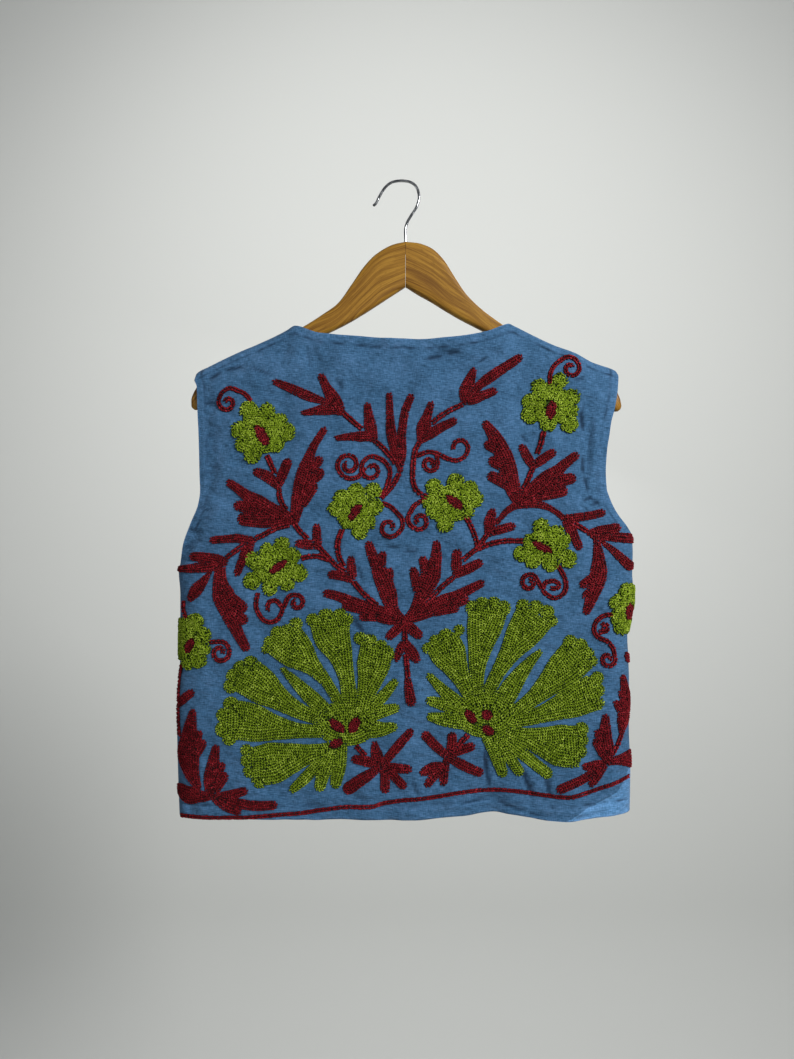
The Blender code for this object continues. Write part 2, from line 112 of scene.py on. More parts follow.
# Large folds as in the solids, then finer ones: x and height of both ends, half width, depth inwards
backFolds = (
    (-208.0, -204.0, -150.0, -189.0, 4.5, 1.8), (-150.0, -189.0, -126.0, -203.0, 5.0, 1.4),
    (-128.0, -176.0, -114.0, -180.0, 5.0, 1.6), (-100.0, -168.0, -88.0, -202.0, 6.0, 1.8),
    (24.0, -181.0, 66.0, -176.0, 4.5, 1.8), (4.0, -176.0, 96.0, -190.0, 6.0, 1.2),
    (20.0, -200.0, 88.0, -207.0, 7.0, 1.3), (-18.0, -185.0, -14.0, -360.0, 10.0, 1.3),
    (192.0, -218.0, 188.0, -325.0, 5.0, 2.4), (200.0, -232.0, 197.0, -300.0, 4.0, -1.4),
    (-196.0, -240.0, -190.0, -330.0, 6.0, 1.6), (-226.0, -404.0, -160.0, -372.0, 9.0, 2.2),
    (236.0, -385.0, 170.0, -352.0, 10.0, 2.4), (91.0, -662.0, 92.0, -560.0, 15.0, 7.0),
    (160.0, -662.0, 158.0, -570.0, 24.0, -5.0), (130.0, -650.0, 128.0, -600.0, 7.0, 1.6),
    (-60.0, -662.0, -54.0, -560.0, 22.0, 3.0), (-140.0, -662.0, -146.0, -575.0, 26.0, -3.0),
    (20.0, -662.0, 16.0, -590.0, 20.0, -2.6), (-212.0, -655.0, -205.0, -560.0, 10.0, 2.2),
)
backCreases = (
    (-128.0, -174.0, -115.0, -177.0, 1.6, 0.7), (-98.0, -170.0, -90.0, -200.0, 2.2, 0.8),
    (-92.0, -166.0, -78.0, -196.0, 2.5, 0.6), (-68.0, -202.0, -60.0, -217.0, 2.0, 0.8),
    (25.0, -180.0, 66.0, -175.0, 1.8, 0.9), (10.0, -186.0, 70.0, -186.0, 2.0, 0.5),
    (30.0, -192.0, 100.0, -196.0, 2.4, 0.5), (76.0, -170.0, 108.0, -182.0, 2.4, 0.7),
    (-60.0, -172.0, 10.0, -175.0, 2.4, 0.5), (110.0, -176.0, 150.0, -214.0, 3.0, 0.6),
    (186.0, -222.0, 184.0, -262.0, 1.8, 0.8), (194.0, -250.0, 190.0, -318.0, 1.6, 0.9),
    (188.0, -322.0, 206.0, -338.0, 2.0, 0.9), (180.0, -330.0, 200.0, -352.0, 2.2, 0.8),
    (-204.0, -226.0, -186.0, -232.0, 2.2, 0.7), (-202.0, -250.0, -182.0, -256.0, 2.0, 0.8),
    (-202.0, -270.0, -186.0, -280.0, 2.4, 0.6), (-202.0, -292.0, -184.0, -296.0, 2.0, 0.8),
    (-202.0, -312.0, -186.0, -324.0, 2.2, 0.7), (-212.0, -350.0, -190.0, -346.0, 2.4, 0.8),
    (-222.0, -376.0, -196.0, -366.0, 2.6, 0.8), (92.0, -600.0, 88.0, -624.0, 2.0, 0.9),
    (132.0, -606.0, 131.0, -634.0, 2.0, 0.9), (150.0, -608.0, 149.0, -622.0, 1.8, 0.7),
    (-20.0, -430.0, -24.0, -500.0, 4.0, 0.7), (30.0, -400.0, 14.0, -450.0, 4.0, 0.7),
)
# Sharper creases of the back, in photo pixels: both ends, half width and depth
seenCreases = (
    (205, 380, 222, 369, 2.2, 1.5), (220, 370, 246, 364, 2.2, 1.5), (244, 364, 276, 376, 2.2, 1.3),
    (262, 368, 268, 396, 5, 1.3), (340, 376, 343, 394, 2.5, 1.0), (310, 345, 321, 373, 4, 1.1),
    (424, 358, 446, 354, 1.8, 1.7), (444, 354, 463, 350, 1.8, 1.4), (477, 363, 489, 355, 1.8, 1.4),
    (400, 352, 470, 367, 3.5, 1.0), (408, 368, 500, 373, 4, 0.9), (430, 381, 512, 386, 4, 0.8),
    (296, 353, 384, 350, 4, 0.8), (520, 433, 528, 443, 1.8, 1.3), (580, 408, 585, 432, 2.4, 1.7),
    (583, 453, 584, 477, 2.2, 1.6), (584, 474, 590, 494, 2.0, 1.6), (581, 501, 594, 497, 1.8, 1.4),
    (590, 507, 602, 500, 1.8, 1.2), (564, 424, 559, 472, 4, 1.2), (572, 380, 588, 376, 2.4, 1.2),
    (184, 527, 204, 534, 2.0, 1.4), (180, 546, 197, 549, 2.0, 1.3), (196, 505, 212, 512, 2.2, 1.2),
    (200, 470, 214, 474, 2.2, 1.1), (201, 436, 216, 434, 2.2, 1.1), (201, 404, 214, 401, 2.0, 1.2),
    (384, 547, 401, 547, 1.8, 1.3), (401, 550, 419, 552, 1.8, 1.3), (351, 616, 365, 633, 2.4, 2.0),
    (362, 631, 377, 642, 2.2, 1.8), (357, 563, 364, 583, 2.2, 1.3), (474, 589, 520, 600, 3, 1.7),
    (514, 598, 549, 607, 3, 1.5), (479, 569, 511, 587, 4, 1.2), (483, 742, 488, 787, 2.2, 2.0),
    (519, 760, 532, 797, 2.4, 2.0), (543, 772, 550, 798, 2.2, 1.6), (454, 801, 491, 797, 1.6, 1.2),
    (489, 797, 531, 811, 1.7, 1.4), (529, 811, 576, 814, 1.7, 1.2), (574, 814, 626, 803, 1.6, 1.0),
    (250, 470, 225, 452, 4, 1.1), (440, 700, 405, 712, 4, 1.3), (330, 505, 300, 512, 4, 1.0),
    (215, 596, 196, 606, 3, 1.2), (470, 430, 500, 424, 4, 0.9), (352, 430, 362, 452, 3.5, 0.9),
    (300, 800, 330, 806, 2.2, 1.0), (352, 792, 372, 801, 2.2, 1.0), (410, 775, 420, 795, 2.6, 1.2),
)
frontFolds = (
    (-60.0, -662.0, -70.0, -470.0, 16.0, 3.5), (-150.0, -662.0, -140.0, -520.0, 20.0, -3.0),
    (-196.0, -240.0, -188.0, -330.0, 7.0, 1.8), (-226.0, -404.0, -150.0, -360.0, 10.0, 2.4),
    (-110.0, -190.0, -96.0, -300.0, 10.0, 1.6), (50.0, -662.0, 64.0, -500.0, 15.0, 3.2),
    (140.0, -662.0, 150.0, -540.0, 22.0, -3.2), (198.0, -240.0, 190.0, -320.0, 7.0, 2.0),
    (234.0, -385.0, 160.0, -345.0, 10.0, 2.4), (112.0, -190.0, 98.0, -290.0, 10.0, 1.6),
)
frontCreases = (
    (-202.0, -252.0, -182.0, -260.0, 2.4, 0.7), (-202.0, -286.0, -180.0, -300.0, 2.6, 0.8),
    (-120.0, -180.0, -150.0, -215.0, 3.0, 0.8), (-90.0, -300.0, -30.0, -330.0, 5.0, 0.8),
    (-40.0, -560.0, -30.0, -630.0, 3.0, 0.8), (206.0, -250.0, 184.0, -262.0, 2.4, 0.7),
    (204.0, -300.0, 182.0, -312.0, 2.6, 0.8), (120.0, -178.0, 156.0, -220.0, 3.0, 0.8),
    (96.0, -310.0, 36.0, -336.0, 5.0, 0.8), (60.0, -570.0, 52.0, -630.0, 3.0, 0.8),
)


def through(at, table):
    # smooth curve through the rows: cubic pieces whose slopes are harmonic means, so no overshoot
    xs, ys = np.array(table, float).T[:2]
    if xs[0] > xs[-1]:
        xs, ys = xs[::-1], ys[::-1]
    step = np.diff(xs)
    slope = np.diff(ys) / step
    tangent = np.zeros_like(xs)
    same = slope[1:] * slope[:-1] > 0
    tangent[1:-1][same] = 2 * slope[1:][same] * slope[:-1][same] / (slope[1:] + slope[:-1])[same]
    tangent[0], tangent[-1] = slope[0], slope[-1]
    at = np.clip(at, xs[0], xs[-1])
    i = np.clip(np.searchsorted(xs, at) - 1, 0, len(xs) - 2)
    h = step[i]
    t = (at - xs[i]) / h
    return (
        (2 * t**3 - 3 * t**2 + 1) * ys[i] + (t**3 - 2 * t**2 + t) * h * tangent[i]
        + (3 * t**2 - 2 * t**3) * ys[i + 1] + (t**3 - t**2) * h * tangent[i + 1]
    )


def ramp(value, low, high):
    # soft step from 0 at low to 1 at high
    t = np.clip((value - low) / (high - low), 0.0, 1.0)
    return t * t * (3 - 2 * t)


def foldDepth(x, z, folds):
    # each row is a soft trough: a bell across its line, fading at its ends
    total = np.zeros_like(x)
    for x0, z0, x1, z1, half, depth in folds:
        dx, dz = x1 - x0, z1 - z0
        t = ((x - x0) * dx + (z - z0) * dz) / (dx * dx + dz * dz)
        near = np.clip(t, 0, 1)
        away = np.hypot(x - x0 - near * dx, z - z0 - near * dz)
        atHem = z0 < -640
        fade = 1 - ramp(t, 0.1, 1.0) if atHem else ramp(t, -0.05, 0.35) * (1 - ramp(t, 0.65, 1.05))
        total += depth * fade * np.exp(-((away / half) ** 2))
    return total


def crumple(x, z):
    # slow uneven waves left by wearing and by the pull of the stitching
    return (
        1.10 * np.sin(x / 13.1 + 1.3 * np.sin(z / 29.0)) * np.sin(z / 17.3 + 0.9 * np.sin(x / 23.0))
        + 0.85 * np.sin((x + 0.6 * z) / 7.9 + np.sin(z / 19.0)) * np.sin((z - 0.3 * x) / 11.7)
        + 0.32 * np.sin((x - 0.8 * z) / 4.3 + 1.7 * np.sin(x / 15.0))
    )


def edgeTurns(x, z, side):
    # thickness of the turned edges, their stitch groove and the ripple that the stitching pulls into them
    left, right = through(z, leftEdge), through(z, rightEdge)
    under = np.where(x < 0, cloth["underarm"][0], cloth["underarm"][1])
    fromSide = np.minimum(x - left, right - x)
    fromArmhole = fromSide + 40 * (1 - ramp(z, under, under + 12))
    fromHem = z - through(x, hemBack if side == 1 else hemFront)
    if side == 1:
        fromNeck = through(x, topEdge) - z + 40 * (1 - ramp(x, -112, -104) * (1 - ramp(x, 105, 113)))
    else:
        fromNeck = np.full_like(x, 99.0)
    out = np.zeros_like(x)
    for away, deep, along, size in (
        (fromHem, cloth["hemDeep"], x, 0.55), (fromNeck, cloth["bandDeep"] - 1.0, x, 0.3),
        (fromArmhole, cloth["bandDeep"], z, 0.5),
    ):
        ripple = np.sin(along / 5.3 + 1.8 * np.sin(along / 17.0)) * np.sin(along / 11.9 + 0.7)
        band = 1 - ramp(away, deep - 1.2, deep + 0.8)
        out = np.maximum(out, cloth["bandThick"] * band)
        out = out + size * ripple * np.exp(-(((away - deep * 0.8) / (deep * 0.5)) ** 2))
        out = out - 0.6 * np.exp(-(((away - deep - 0.2) / 1.3) ** 2))
    fade = ramp(fromSide + 60 * ramp(z, under, under + 12), 0, 8)
    return out * ramp(through(x, ridge) - z, 2.0, 10.0) * fade


def fromPhoto(x, y):
    # place on the hanger's plane, drawn in a little because the cloth hangs in front of it
    nearer = view["pixel"] * (1 - 16.0 / view["distance"])
    return view["x"] + (x - view["centre"][0]) * nearer, view["z"] - (y - view["centre"][1]) * nearer


placedCreases = [(*fromPhoto(x0, y0), *fromPhoto(x1, y1), *size) for x0, y0, x1, y1, *size in seenCreases]
backCreases += tuple(placedCreases)
# the fronts are hidden in the photo; they get the same kind of creases, turned left for right
frontCreases += tuple((-x0, z0, -x1, z1, *size) for x0, z0, x1, z1, *size in placedCreases if abs(x0) > 70)


def outlineAt(x, z):
    # the side's line at height z, on the same half as x
    return np.where(x < 0, through(z, leftEdge), through(z, rightEdge))


def runOf(line):
    # distance along a line at each of its points
    return np.concatenate([[0], np.cumsum(np.hypot(*np.diff(line, axis=0).T))])


def outerDepth(x, z, side):
    # distance of the outside from the hanger's plane: a quarter ellipse at the sides, a round cap on top
    left, right = through(z, leftEdge), through(z, rightEdge)
    fromEdge = np.clip(np.minimum(x - left, right - x), 0, None)
    low, high = cloth["underarm"]
    height = np.where(x < 0, (z - low) / 50, (z - high) / 40)
    arm = np.sqrt(np.clip(height, 0, 1)) * (1 - 0.2 * np.clip(height, 0, 1)) / 0.8
    arm = np.minimum(arm, 1.0)
    edge = cloth["armholeHalfGap"] * arm
    full = through(z, [(row[0], row[side]) for row in bulge])
    start = 0.5 * ramp(arm, 0.0, 0.3)
    width = cloth["sideRoll"] + (cloth["armholeRoll"] - cloth["sideRoll"]) * arm
    bend = start + (1 - start) * np.clip(fromEdge / width, 0, 1)
    base = np.sqrt(1 - (1 - start) ** 2)
    shape = (np.sqrt(1 - (1 - bend) ** 2) - base) / (1 - base)
    flat = edge + (full - edge) * shape
    folds = backFolds if side == 1 else frontFolds
    creases = backCreases if side == 1 else frontCreases
    flat = flat - (foldDepth(x, z, folds) + foldDepth(x, z, creases)) * ramp(fromEdge, 0.0, 14.0)
    below = np.clip(through(x, ridge) - z, 0, None)
    flat = flat + crumple(x, z) * ramp(fromEdge, 0.0, 20.0) * ramp(below, 6.0, 20.0)
    flat = flat + edgeTurns(x, z, side)
    cap = np.sqrt(np.clip(1 - (1 - np.clip(below / cloth["capRadius"], 0, 1)) ** 2, 0, 1))
    grown = cloth["capRadius"] + (flat - cloth["capRadius"]) * ramp(below, 3.0, 34.0)
    inNeck = 1 - ramp(np.abs(x), 104.0, 122.0)
    neckPoint = np.exp(-((np.abs(x) - 115) / 9) ** 2) * (1 - ramp(below, 1.0, 8.0))
    stand = np.maximum(grown, 0.5) + cloth["neckStandOff"] * inNeck
    return cloth["seamGap"] + 0.5 * neckPoint + cap * stand


def sideOf(x):
    return (x > 0).astype(int)


def girthTable():
    # for each height and half: x against distance along the cloth, out to the side fold and round it
    heights = np.linspace(-662, -160, 120)
    steps = 260
    run = np.linspace(0, 300, 301)
    xs, ys = np.zeros((2, len(heights), len(run))), np.zeros((2, len(heights), len(run)))
    lengths = np.zeros((2, len(heights), 2 * steps - 1))
    t = 1 - (1 - np.linspace(0, 1, steps)) ** 3
    for k, edgeTable in enumerate((leftEdge, rightEdge)):
        for i, z in enumerate(heights):
            side = through(z, edgeTable)
            x = np.concatenate([t * side, (t * side)[::-1][1:]])
            zs = np.full_like(x, z)
            y = np.concatenate([-outerDepth(x[:steps], zs[:steps], 1), outerDepth(x[steps:], zs[steps:], 2)])
            length = runOf(np.stack([x, y], 1))
            xs[k, i] = np.interp(run, length, x)
            ys[k, i] = np.interp(run, length, y)
            lengths[k, i] = length
    return heights, run, xs, ys, lengths


heights, girthRun, girthX, girthY, girthLength = girthTable()


def onCloth(a, z):
    # point on the outside of the cloth at a millimetres along it from the centre back, at height z
    a, z = np.asarray(a, float), np.asarray(z, float)
    k = sideOf(a)
    row = np.clip((z - heights[0]) / (heights[1] - heights[0]), 0, len(heights) - 1.001)
    col = np.clip(np.abs(a), 0, len(girthRun) - 1.001)
    i, j = row.astype(int), col.astype(int)
    f, g = row - i, col - j

    def read(table):
        upper = table[k, i, j] * (1 - g) + table[k, i, j + 1] * g
        lower = table[k, i + 1, j] * (1 - g) + table[k, i + 1, j + 1] * g
        return upper * (1 - f) + lower * f

    x, y = read(girthX), read(girthY)
    near = np.where(y < 0, -outerDepth(x, z, 1), outerDepth(x, z, 2))
    flatPart = np.abs(x - outlineAt(a, z)) > 8
    return np.stack([x, np.where(flatPart, near, y), z], -1)


def lengthTo(x, z, onBack):
    # distance along the cloth from the centre back; a place on the front is counted round the side fold
    share = np.clip(x / outlineAt(x, z), 0, 1)
    row = np.clip((z - heights[0]) / (heights[1] - heights[0]), 0, len(heights) - 1.001)
    last = (girthLength.shape[2] - 1) / 2
    col = last * np.where(onBack, 1 - np.cbrt(1 - share), 1 + np.cbrt(1 - share)) * 0.9999
    i, j, k = row.astype(int), col.astype(int), sideOf(x)
    f, g = row - i, col - j
    upper = girthLength[k, i, j] * (1 - g) + girthLength[k, i, j + 1] * g
    lower = girthLength[k, i + 1, j] * (1 - g) + girthLength[k, i + 1, j + 1] * g
    return upper * (1 - f) + lower * f


print("garment form ready")


def meshFrom(name, points, faces):
    # faces is an array with one row of point numbers for each face, all with the same number of corners
    mesh = bpy.data.meshes.new(name)
    mesh.vertices.add(len(points))
    mesh.vertices.foreach_set("co", (points * mm).astype(np.float32).ravel())
    mesh.loops.add(faces.size)
    mesh.loops.foreach_set("vertex_index", faces.astype(np.int32).ravel())
    mesh.polygons.add(len(faces))
    mesh.polygons.foreach_set("loop_start", np.arange(0, faces.size, faces.shape[1], dtype=np.int32))
    mesh.update(calc_edges=True)
    mesh.validate()
    mesh.shade_smooth()
    obj = bpy.data.objects.new(name, mesh)
    bpy.context.scene.collection.objects.link(obj)
    return obj


def gridFaces(rows, cols, ring=False):
    # quads between neighbouring rows and columns; a ring joins its last column to its first
    number = np.arange(rows * cols).reshape(rows, cols)
    if ring:
        number = np.concatenate([number, number[:, :1]], 1)
    return np.stack([number[:-1, :-1], number[:-1, 1:], number[1:, 1:], number[1:, :-1]], -1).reshape(-1, 4)


def setUv(obj, name, uv):
    # one pair of values for each point, handed to every corner that uses the point
    layer = obj.data.uv_layers.new(name=name)
    corner = np.empty(len(obj.data.loops), np.int32)
    obj.data.loops.foreach_get("vertex_index", corner)
    layer.uv.foreach_set("vector", uv[corner].astype(np.float32).ravel())


def setValue(obj, name, values):
    layer = obj.data.attributes.new(name, "FLOAT", "POINT")
    layer.data.foreach_set("value", values.astype(np.float32).ravel())


def settle(obj, material, node=None):
    # material and body, and for a piece that stands for a solid, the solid's name; that solid is hidden
    obj.data.materials.append(material)
    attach(obj, "root")
    if node:
        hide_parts(node)
    return obj


def feed(tree, socket, value):
    # links an output to the socket, or gives the socket a plain value
    if isinstance(value, bpy.types.NodeSocket):
        tree.links.new(value, socket)
    else:
        socket.default_value = value


def nodeIn(tree, kind, inputs=(), **settings):
    # adds a node; inputs go to its sockets by number or name, settings to the node itself
    node = tree.nodes.new(kind)
    for key, value in settings.items():
        setattr(node, key, value)
    for key, value in dict(inputs).items():
        feed(tree, node.inputs[key], value)
    return node


def maths(tree, operation, *values):
    return nodeIn(tree, "ShaderNodeMath", enumerate(values), operation=operation).outputs[0]


def blend(tree, share, first, second, kind="RGBA"):
    # between two colours, or with the kind FLOAT between two numbers
    at, out = (6, 2) if kind == "RGBA" else (2, 0)
    return nodeIn(tree, "ShaderNodeMix", {0: share, at: first, at + 1: second}, data_type=kind).outputs[out]


def mapped(tree, value, *ends):
    return nodeIn(tree, "ShaderNodeMapRange", enumerate((value, *ends))).outputs[0]


def readValue(tree, name):
    return nodeIn(tree, "ShaderNodeAttribute", attribute_name=name).outputs["Fac"]


def bump(tree, height, strength, distance, **more):
    given = {"Height": height, "Strength": strength, "Distance": distance, **more}
    return nodeIn(tree, "ShaderNodeBump", given).outputs[0]


def threeTones(tree, value, lower, upper, dark, mid, light):
    # dark to mid over the lower range, then on to light over the upper one
    first = blend(tree, mapped(tree, value, *lower), dark, mid)
    return blend(tree, mapped(tree, value, *upper), first, light)


def colourRamp(tree, source, places, colours):
    node = nodeIn(tree, "ShaderNodeValToRGB", {0: source})
    while len(node.color_ramp.elements) < len(places):
        node.color_ramp.elements.new(0.5)
    for element, place, colour in zip(node.color_ramp.elements, places, colours):
        element.position = place
        element.color = colour
    return node.outputs[0]


def dress(tree, **sockets):
    # fills the shader's sockets, whose names are written with _ for a space
    for name, value in sockets.items():
        feed(tree, tree.nodes["Principled BSDF"].inputs[name.replace("_", " ")], value)


def newMaterial(name, **sockets):
    made = bpy.data.materials.new(name)
    made.use_nodes = True
    dress(made.node_tree, **sockets)
    return made, made.node_tree


def newGroup(name, inputs, outputs):
    # an input's kind follows from its first value: a number, three for a vector or four for a colour
    kinds = {3: "NodeSocketVector", 4: "NodeSocketColor"}
    tree = bpy.data.node_groups.new(name, "ShaderNodeTree")
    for label, value in inputs.items():
        kind = kinds[len(value)] if isinstance(value, tuple) else "NodeSocketFloat"
        tree.interface.new_socket(label, in_out="INPUT", socket_type=kind).default_value = value
    for label in outputs:
        kind = kinds[4] if label == "Color" else "NodeSocketFloat"
        tree.interface.new_socket(label, in_out="OUTPUT", socket_type=kind)
    return tree, tree.nodes.new("NodeGroupInput").outputs, tree.nodes.new("NodeGroupOutput").inputs


finish = {
    "clothDark": (0.014, 0.052, 0.105, 1), "clothMid": (0.036, 0.105, 0.205, 1),
    # the crease colour below is painted shade for creases and stitch grooves
    "clothLight": (0.075, 0.170, 0.320, 1), "clothCreaseShade": (0.005, 0.020, 0.048, 1),
    # yarn tones: dark to light serve the yarn's uneven tone and also the painted shade and highlight on each
    # strand
    "redDark": (0.022, 0.001, 0.002, 1), "redMid": (0.160, 0.004, 0.008, 1),
    "redLight": (0.430, 0.036, 0.050, 1),
    "greenDark": (0.022, 0.044, 0.001, 1), "greenMid": (0.155, 0.235, 0.005, 1),
    "greenLight": (0.520, 0.640, 0.110, 1),
    "woodDark": (0.120, 0.047, 0.004, 1), "woodMid": (0.260, 0.125, 0.013, 1),
    "woodLight": (0.370, 0.200, 0.026, 1),
    "wireDark": (0.17, 0.18, 0.19, 1), "wireLight": (0.42, 0.43, 0.44, 1), "floor": (0.560, 0.568, 0.545, 1),
    "thread": 0.00062,  # metres from thread to thread
    "plyTurns": 2.0,  # turns of the ply along one strand
}
tones = ("Dark", "Mid", "Light")


def tonesOf(colour):
    return {tone: finish[colour + tone] for tone in tones}


def fibreGroup():
    # fine uneven grain of spun fibre, also used for slubs, creases and growth rings
    starts = {"Scale": 900.0, "Stretch": (1, 1, 1), "Vector": (0, 0, 0)}
    tree, given, out = newGroup("fibre grain", starts, ["Value"])
    stretched = nodeIn(tree, "ShaderNodeVectorMath", {0: given[2], 1: given[1]}, operation="MULTIPLY")
    spots = {"Vector": stretched.outputs[0], "Scale": given[0], "Detail": 3.0}
    noise = nodeIn(tree, "ShaderNodeTexNoise", spots)
    feed(tree, out[0], noise.outputs["Fac"])
    return tree


fibreGrain = fibreGroup()


def grain(tree, point, scale, stretch=(1.0, 1.0, 1.0)):
    given = {"Vector": point, "Scale": scale, "Stretch": stretch}
    return nodeIn(tree, "ShaderNodeGroup", given, node_tree=fibreGrain).outputs[0]


def clothMaterial():
    # plain weave: crossed rows of threads, slubs along both, paler wear on turned edges, painted shade in
    # creases and stitch grooves
    made, tree = newMaterial("cotton chambray", Roughness=0.9, Specular_IOR_Level=0.14, Sheen_Weight=0.1,
                             Sheen_Roughness=0.55, Sheen_Tint=(0.75, 0.85, 1.0, 1.0))
    point = nodeIn(tree, "ShaderNodeUVMap", uv_map="cloth").outputs[0]
    threads = {"Vector": point, "Scale": 0.314 / finish["thread"], "Distortion": 1.2, "Detail": 1.0}
    warp, weft = (
        nodeIn(tree, "ShaderNodeTexWave", threads, bands_direction=way).outputs["Fac"] for way in "XY")
    along, down = (grain(tree, point, 1.0, way) for way in ((150.0, 1250.0, 1.0), (1250.0, 170.0, 1.0)))
    slub = blend(tree, 0.38, along, down, "FLOAT")
    tone = blend(tree, 0.2, slub, grain(tree, point, 34.0), "FLOAT")
    tone = maths(tree, "MULTIPLY_ADD", readValue(tree, "wear"), 0.06, tone)
    colour = colourRamp(tree, tone, (0.38, 0.5, 0.63), tonesOf("cloth").values())
    # painted shade in creases and in the stitch grooves of turned edges
    crease = maths(tree, "MULTIPLY", readValue(tree, "grooveShade"), 0.92)
    colour = blend(tree, crease, colour, finish["clothCreaseShade"])
    # yarn under the stitches in its darkest tone: partly yarn colour, partly painted shade for the gaps
    # between stitches
    for name, dark in (("shadeUnderRed", "redDark"), ("shadeUnderGreen", "greenDark")):
        colour = blend(tree, readValue(tree, name), colour, finish[dark])
    weave = maths(tree, "MULTIPLY_ADD", slub, 2.2, maths(tree, "ADD", warp, weft))
    soft = bump(tree, grain(tree, point, 1.0, (65.0, 125.0, 1.0)), 1.0, 0.0036)
    dress(tree, Base_Color=colour, Normal=bump(tree, weave, 0.35, 0.00025, Normal=soft))
    return made


def plyGroup():
    # twisted yarn: each strand has its own tone, with painted highlight along its top and on the ply's raised
    # ridges, and painted shade on its sides and in the ply's gaps
    tree, given, out = newGroup("twisted yarn", dict.fromkeys(tones, (0, 0, 0, 1)), ["Color", "Height"])
    ridges = maths(tree, "SINE", maths(tree, "MULTIPLY", readValue(tree, "ply"), 2 * math.pi))
    level = maths(tree, "MULTIPLY_ADD", ridges, 0.5, 0.5)
    place = nodeIn(tree, "ShaderNodeTexCoord").outputs["Object"]
    fibre, cloud = grain(tree, place, 2600.0), grain(tree, place, 45.0)
    tone = readValue(tree, "tone")
    # painted highlight on each strand's top and on the ply's ridges, painted shade on its sides and in the
    # ply's gaps
    for value, share in ((readValue(tree, "crownLight"), 0.8), (level, 0.14), (cloud, 0.3), (fibre, 0.3)):
        tone = maths(tree, "MULTIPLY_ADD", value, share, tone)
    feed(tree, out[0], threeTones(tree, tone, (0.50, 1.05), (1.05, 1.55), *given[:3]))
    feed(tree, out[1], maths(tree, "MULTIPLY_ADD", fibre, 0.5, level))
    return tree


twistedYarn = plyGroup()


def yarnMaterial(name, colour):
    made, tree = newMaterial(name, Roughness=0.85, Specular_IOR_Level=0.12, Sheen_Weight=0.02,
                             Sheen_Roughness=0.45)
    yarn = nodeIn(tree, "ShaderNodeGroup", tonesOf(colour), node_tree=twistedYarn)
    dress(tree, Base_Color=yarn.outputs[0], Normal=bump(tree, yarn.outputs[1], 0.6, 0.0003))
    return made


clothBlue = clothMaterial()
yarnRed, yarnGreen = yarnMaterial("burgundy yarn", "red"), yarnMaterial("two tone green yarn", "green")
print("materials ready")


def spaced(step, total, first, last):
    # distances with small steps at both ends and even steps between
    inner = np.linspace(first[-1], total - last[-1], round((total - first[-1] - last[-1]) / step) + 1)
    return np.concatenate([first, inner[1:-1], total - np.array(last)[::-1]])


def finishCloth(obj, points, node):
    # wall thickness inwards, weave map from lengths along the cloth, paler wear where edges are turned
    rows = points.reshape(-1, 3)
    run = np.linalg.norm(np.diff(points, axis=1), axis=2)
    arc = np.concatenate([np.zeros((len(points), 1)), np.cumsum(run, 1)], 1)
    arc = arc - arc[:, [points.shape[1] // 2]]
    setUv(obj, "cloth", np.stack([arc.ravel(), rows[:, 2]], 1) * mm)
    side = 1 if rows[:, 1].mean() < 0 else 2
    x, z = rows[:, 0], rows[:, 2]
    left, right = through(z, leftEdge), through(z, rightEdge)
    low = np.where(x < 0, *[np.full_like(x, v) for v in cloth["underarm"]])
    hemAway = z - through(x, hemBack if side == 1 else hemFront)
    neckAway = through(x, topEdge) - z if side == 1 else np.full_like(x, 99.0)
    armAway = np.minimum(x - left, right - x) + 60 * (1 - ramp(z, low, low + 12))
    # painted shade along sharp creases and in the stitch grooves of turned edges
    sharp = [row for row in (backCreases if side == 1 else frontCreases) if row[4] < cloth["sharpCrease"]]
    worn, grooveShade = np.zeros_like(x), foldDepth(x, z, sharp) / cloth["creaseShadeDepth"]
    band = cloth["bandDeep"]
    for away, deep in ((hemAway, cloth["hemDeep"]), (neckAway, band), (armAway, band)):
        worn = np.maximum(worn, np.exp(-((away / 2.2) ** 2)))
        worn = np.maximum(worn, 0.6 * np.exp(-(((away - deep + 3.0) / 2.2) ** 2)))
        patch = np.sin(x / 3.7 + 2 * np.sin(z / 9.0)) * np.sin(z / 4.6 + 1.5 * np.sin(x / 11.0))
        broken = 0.55 + 0.45 * patch
        grooveShade = np.maximum(grooveShade, cloth["seamGrooveShade"] * broken * np.exp(-(((away - deep) / 1.4) ** 2)))
    setValue(obj, "wear", worn)
    setValue(obj, "grooveShade", np.clip(1.5 * grooveShade - 0.25, 0, 1) * (1.0 if side == 1 else cloth["frontShade"]))
    onBack = rows[:, 1] < 0
    place = np.stack([np.sign(x) * lengthTo(x, z, onBack), z], 1)
    # the yarn's darkest tone painted on the cloth inside each filled shape, partly yarn colour and partly
    # painted shade in the gaps between stitches
    for label, colour in (("shadeUnderRed", "yarn_red"), ("shadeUnderGreen", "yarn_green")):
        under = np.zeros_like(x)
        for kind, outline in covered:
            low, high = outline.min(0) - 1, outline.max(0) + 1
            near = ((place > low) & (place < high)).all(1) if kind == colour else np.zeros(len(x), bool)
            if near.any():
                deep = np.clip(clearance(place[near], outline) / 1.6 - 0.4, 0, 1)
                under[near] = np.maximum(under[near], deep)
        setValue(obj, label, under)
    solid = obj.modifiers.new("wall", "SOLIDIFY")
    solid.thickness = cloth["wall"] * mm
    solid.offset = -1.0
    settle(obj, clothBlue, node)


